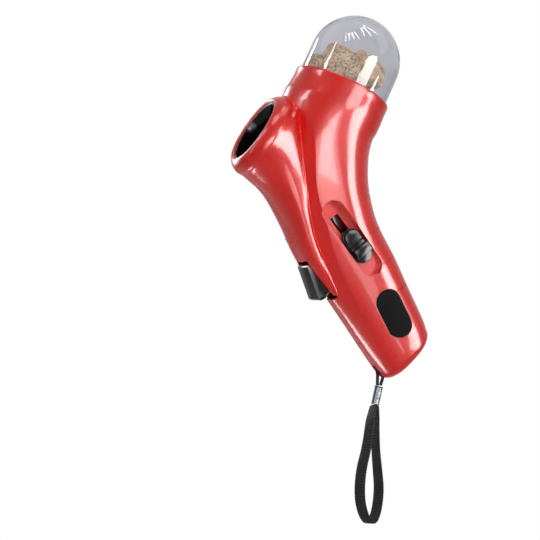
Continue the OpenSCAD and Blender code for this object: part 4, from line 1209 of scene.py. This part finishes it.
def softbox(name, aim, azimuth, elevation, distance, width, height, roll, radiance):
    """A rectangular soft lamp seen from aim at these angles, turned by roll about its axis."""
    data = bpy.data.lights.new(name, "AREA")
    data.shape = "RECTANGLE"
    data.size, data.size_y = width, height
    data.energy = radiance * pi * width * height * bpy.context.scene.launcher_stage.light
    lamp = bpy.data.objects.new(name, data)
    aim = Vector(aim) * MM
    lamp.location = aim + distance * outward(azimuth, elevation)
    lamp.rotation_euler = ((aim - lamp.location).to_track_quat("-Z", "Y")
                           @ Quaternion((0, 0, 1), radians(roll))).to_euler()
    bpy.context.scene.collection.objects.link(lamp)
    lamp.visible_transmission = False
    lamp.visible_camera = False
    return lamp


def seen_rays(tree, *kinds):
    """1 for rays from the camera and of these kinds, otherwise 0."""
    path = add(tree, "LightPath")
    seen = path.outputs["Is Camera Ray"]
    for kind in kinds:
        seen = add(tree, "Math", {0: seen, 1: path.outputs[f"Is {kind} Ray"]},
                   operation="MAXIMUM").outputs[0]
    return seen


def pale_floor():
    # Painted board that glows for the camera, less so under the object, so that it shows
    # white round a soft shadow.
    material, tree = new_material("pale_floor")
    point = object_point(tree)
    speck = add(tree, "TexNoise", {"Vector": point, "Scale": 0.02})
    tone = add(tree, "ValToRGB", {0: speck}, [(0.3, "#f4f4f4"), (0.7, "#f7f7f7")])
    away = add(tree, "VectorMath", {0: point}, operation="LENGTH").outputs["Value"]
    glow = add(tree, "MapRange",
               {"Value": away, "From Min": 300, "From Max": 900, "To Min": 0.45, "To Max": 1.0},
               interpolation_type="SMOOTHSTEP")
    shown = add(tree, "Math", {0: seen_rays(tree, "Transmission"), 1: glow}, operation="MULTIPLY")
    shader = add(tree, "BsdfPrincipled",
                 {"Base Color": tone, "Roughness": 0.9, "Specular IOR Level": 0.2,
                  "Emission Color": (1, 1, 1, 1), "Emission Strength": shown})
    add(tree, "OutputMaterial", {"Surface": shader})
    return material


def white_room():
    """A white world, dimmed where it lights; gloss sees it darken towards the ground."""
    world = bpy.data.worlds.new("white_room")
    world.use_nodes = True
    tree = world.node_tree
    tree.nodes.clear()
    ray = add(tree, "TexCoord").outputs["Generated"]
    height = add(tree, "SeparateXYZ", {0: ray}).outputs["Z"]
    shade = add(tree, "MapRange",
                {"Value": height, "From Min": -0.45, "From Max": 0.15, "To Min": 0.15,
                 "To Max": 0.7}, interpolation_type="SMOOTHSTEP")
    gloss = add(tree, "LightPath").outputs["Is Glossy Ray"]
    room = add(tree, "Mix", {"Factor": gloss, "A": 1.0, "B": shade})
    strength = add(tree, "Mix",
                   {"Factor": seen_rays(tree, "Glossy", "Transmission"), "A": 0.22, "B": room})
    back = add(tree, "Background", {"Color": (1, 1, 1, 1), "Strength": strength})
    add(tree, "OutputWorld", {"Surface": back})
    return world


class LAUNCHER_OT_stage(bpy.types.Operator):
    """Lays the pale floor, hangs the soft lamps and sets the white world"""

    bl_idname = "launcher.stage"
    bl_label = "Stage"

    def execute(self, context):
        bm = bmesh.new()
        bmesh.ops.create_circle(bm, cap_ends=True, segments=96, radius=FLOOR_R)
        ground = new_object("floor", bm, up(CAD_BOX[0][2] - FLOOR_DROP), 1)
        ground.data.materials.append(pale_floor())
        for lamp in LAMPS:
            softbox(*lamp).visible_glossy = False
        for card in CARDS:
            softbox(*card).visible_diffuse = False
        context.scene.world = white_room()
        context.scene.view_settings.view_transform = "Standard"
        return {"FINISHED"}


class LAUNCHER_PT_pieces(bpy.types.Panel):
    """Lists the launcher's pieces"""

    bl_idname = "LAUNCHER_PT_pieces"
    bl_label = "Treat launcher"
    bl_space_type = "VIEW_3D"
    bl_region_type = "UI"
    bl_category = "Launcher"

    def draw(self, context):
        for piece in PIECES:
            self.layout.operator(piece.bl_idname)
        for group in LOOKS:
            look = getattr(context.scene, group)
            for prop in look.bl_rna.properties:
                if not prop.is_readonly and prop.identifier != "name":
                    self.layout.prop(look, prop.identifier)


LOOKS = {"launcher_casing": CasingLook, "launcher_hopper": HopperLook,
         "launcher_strap": StrapLook, "launcher_stage": StageLook}
# In the order in which main makes them
PIECES = [LAUNCHER_OT_camera, LAUNCHER_OT_strap, LAUNCHER_OT_casing, LAUNCHER_OT_muzzle,
          LAUNCHER_OT_dome, LAUNCHER_OT_treats, LAUNCHER_OT_slide, LAUNCHER_OT_trigger,
          LAUNCHER_OT_pads, LAUNCHER_OT_works, LAUNCHER_OT_stage]
CLASSES = [*LOOKS.values(), *PIECES, LAUNCHER_PT_pieces]


def register():
    for cls in CLASSES:
        bpy.utils.register_class(cls)
    for name, group in LOOKS.items():
        setattr(bpy.types.Scene, name, PointerProperty(type=group))


def unregister():
    for name in LOOKS:
        delattr(bpy.types.Scene, name)
    for cls in reversed(CLASSES):
        bpy.utils.unregister_class(cls)


def main():
    register()
    for piece in PIECES:
        getattr(bpy.ops.launcher, piece.bl_idname.split(".")[1])()


if __name__ == "__main__":
    main()
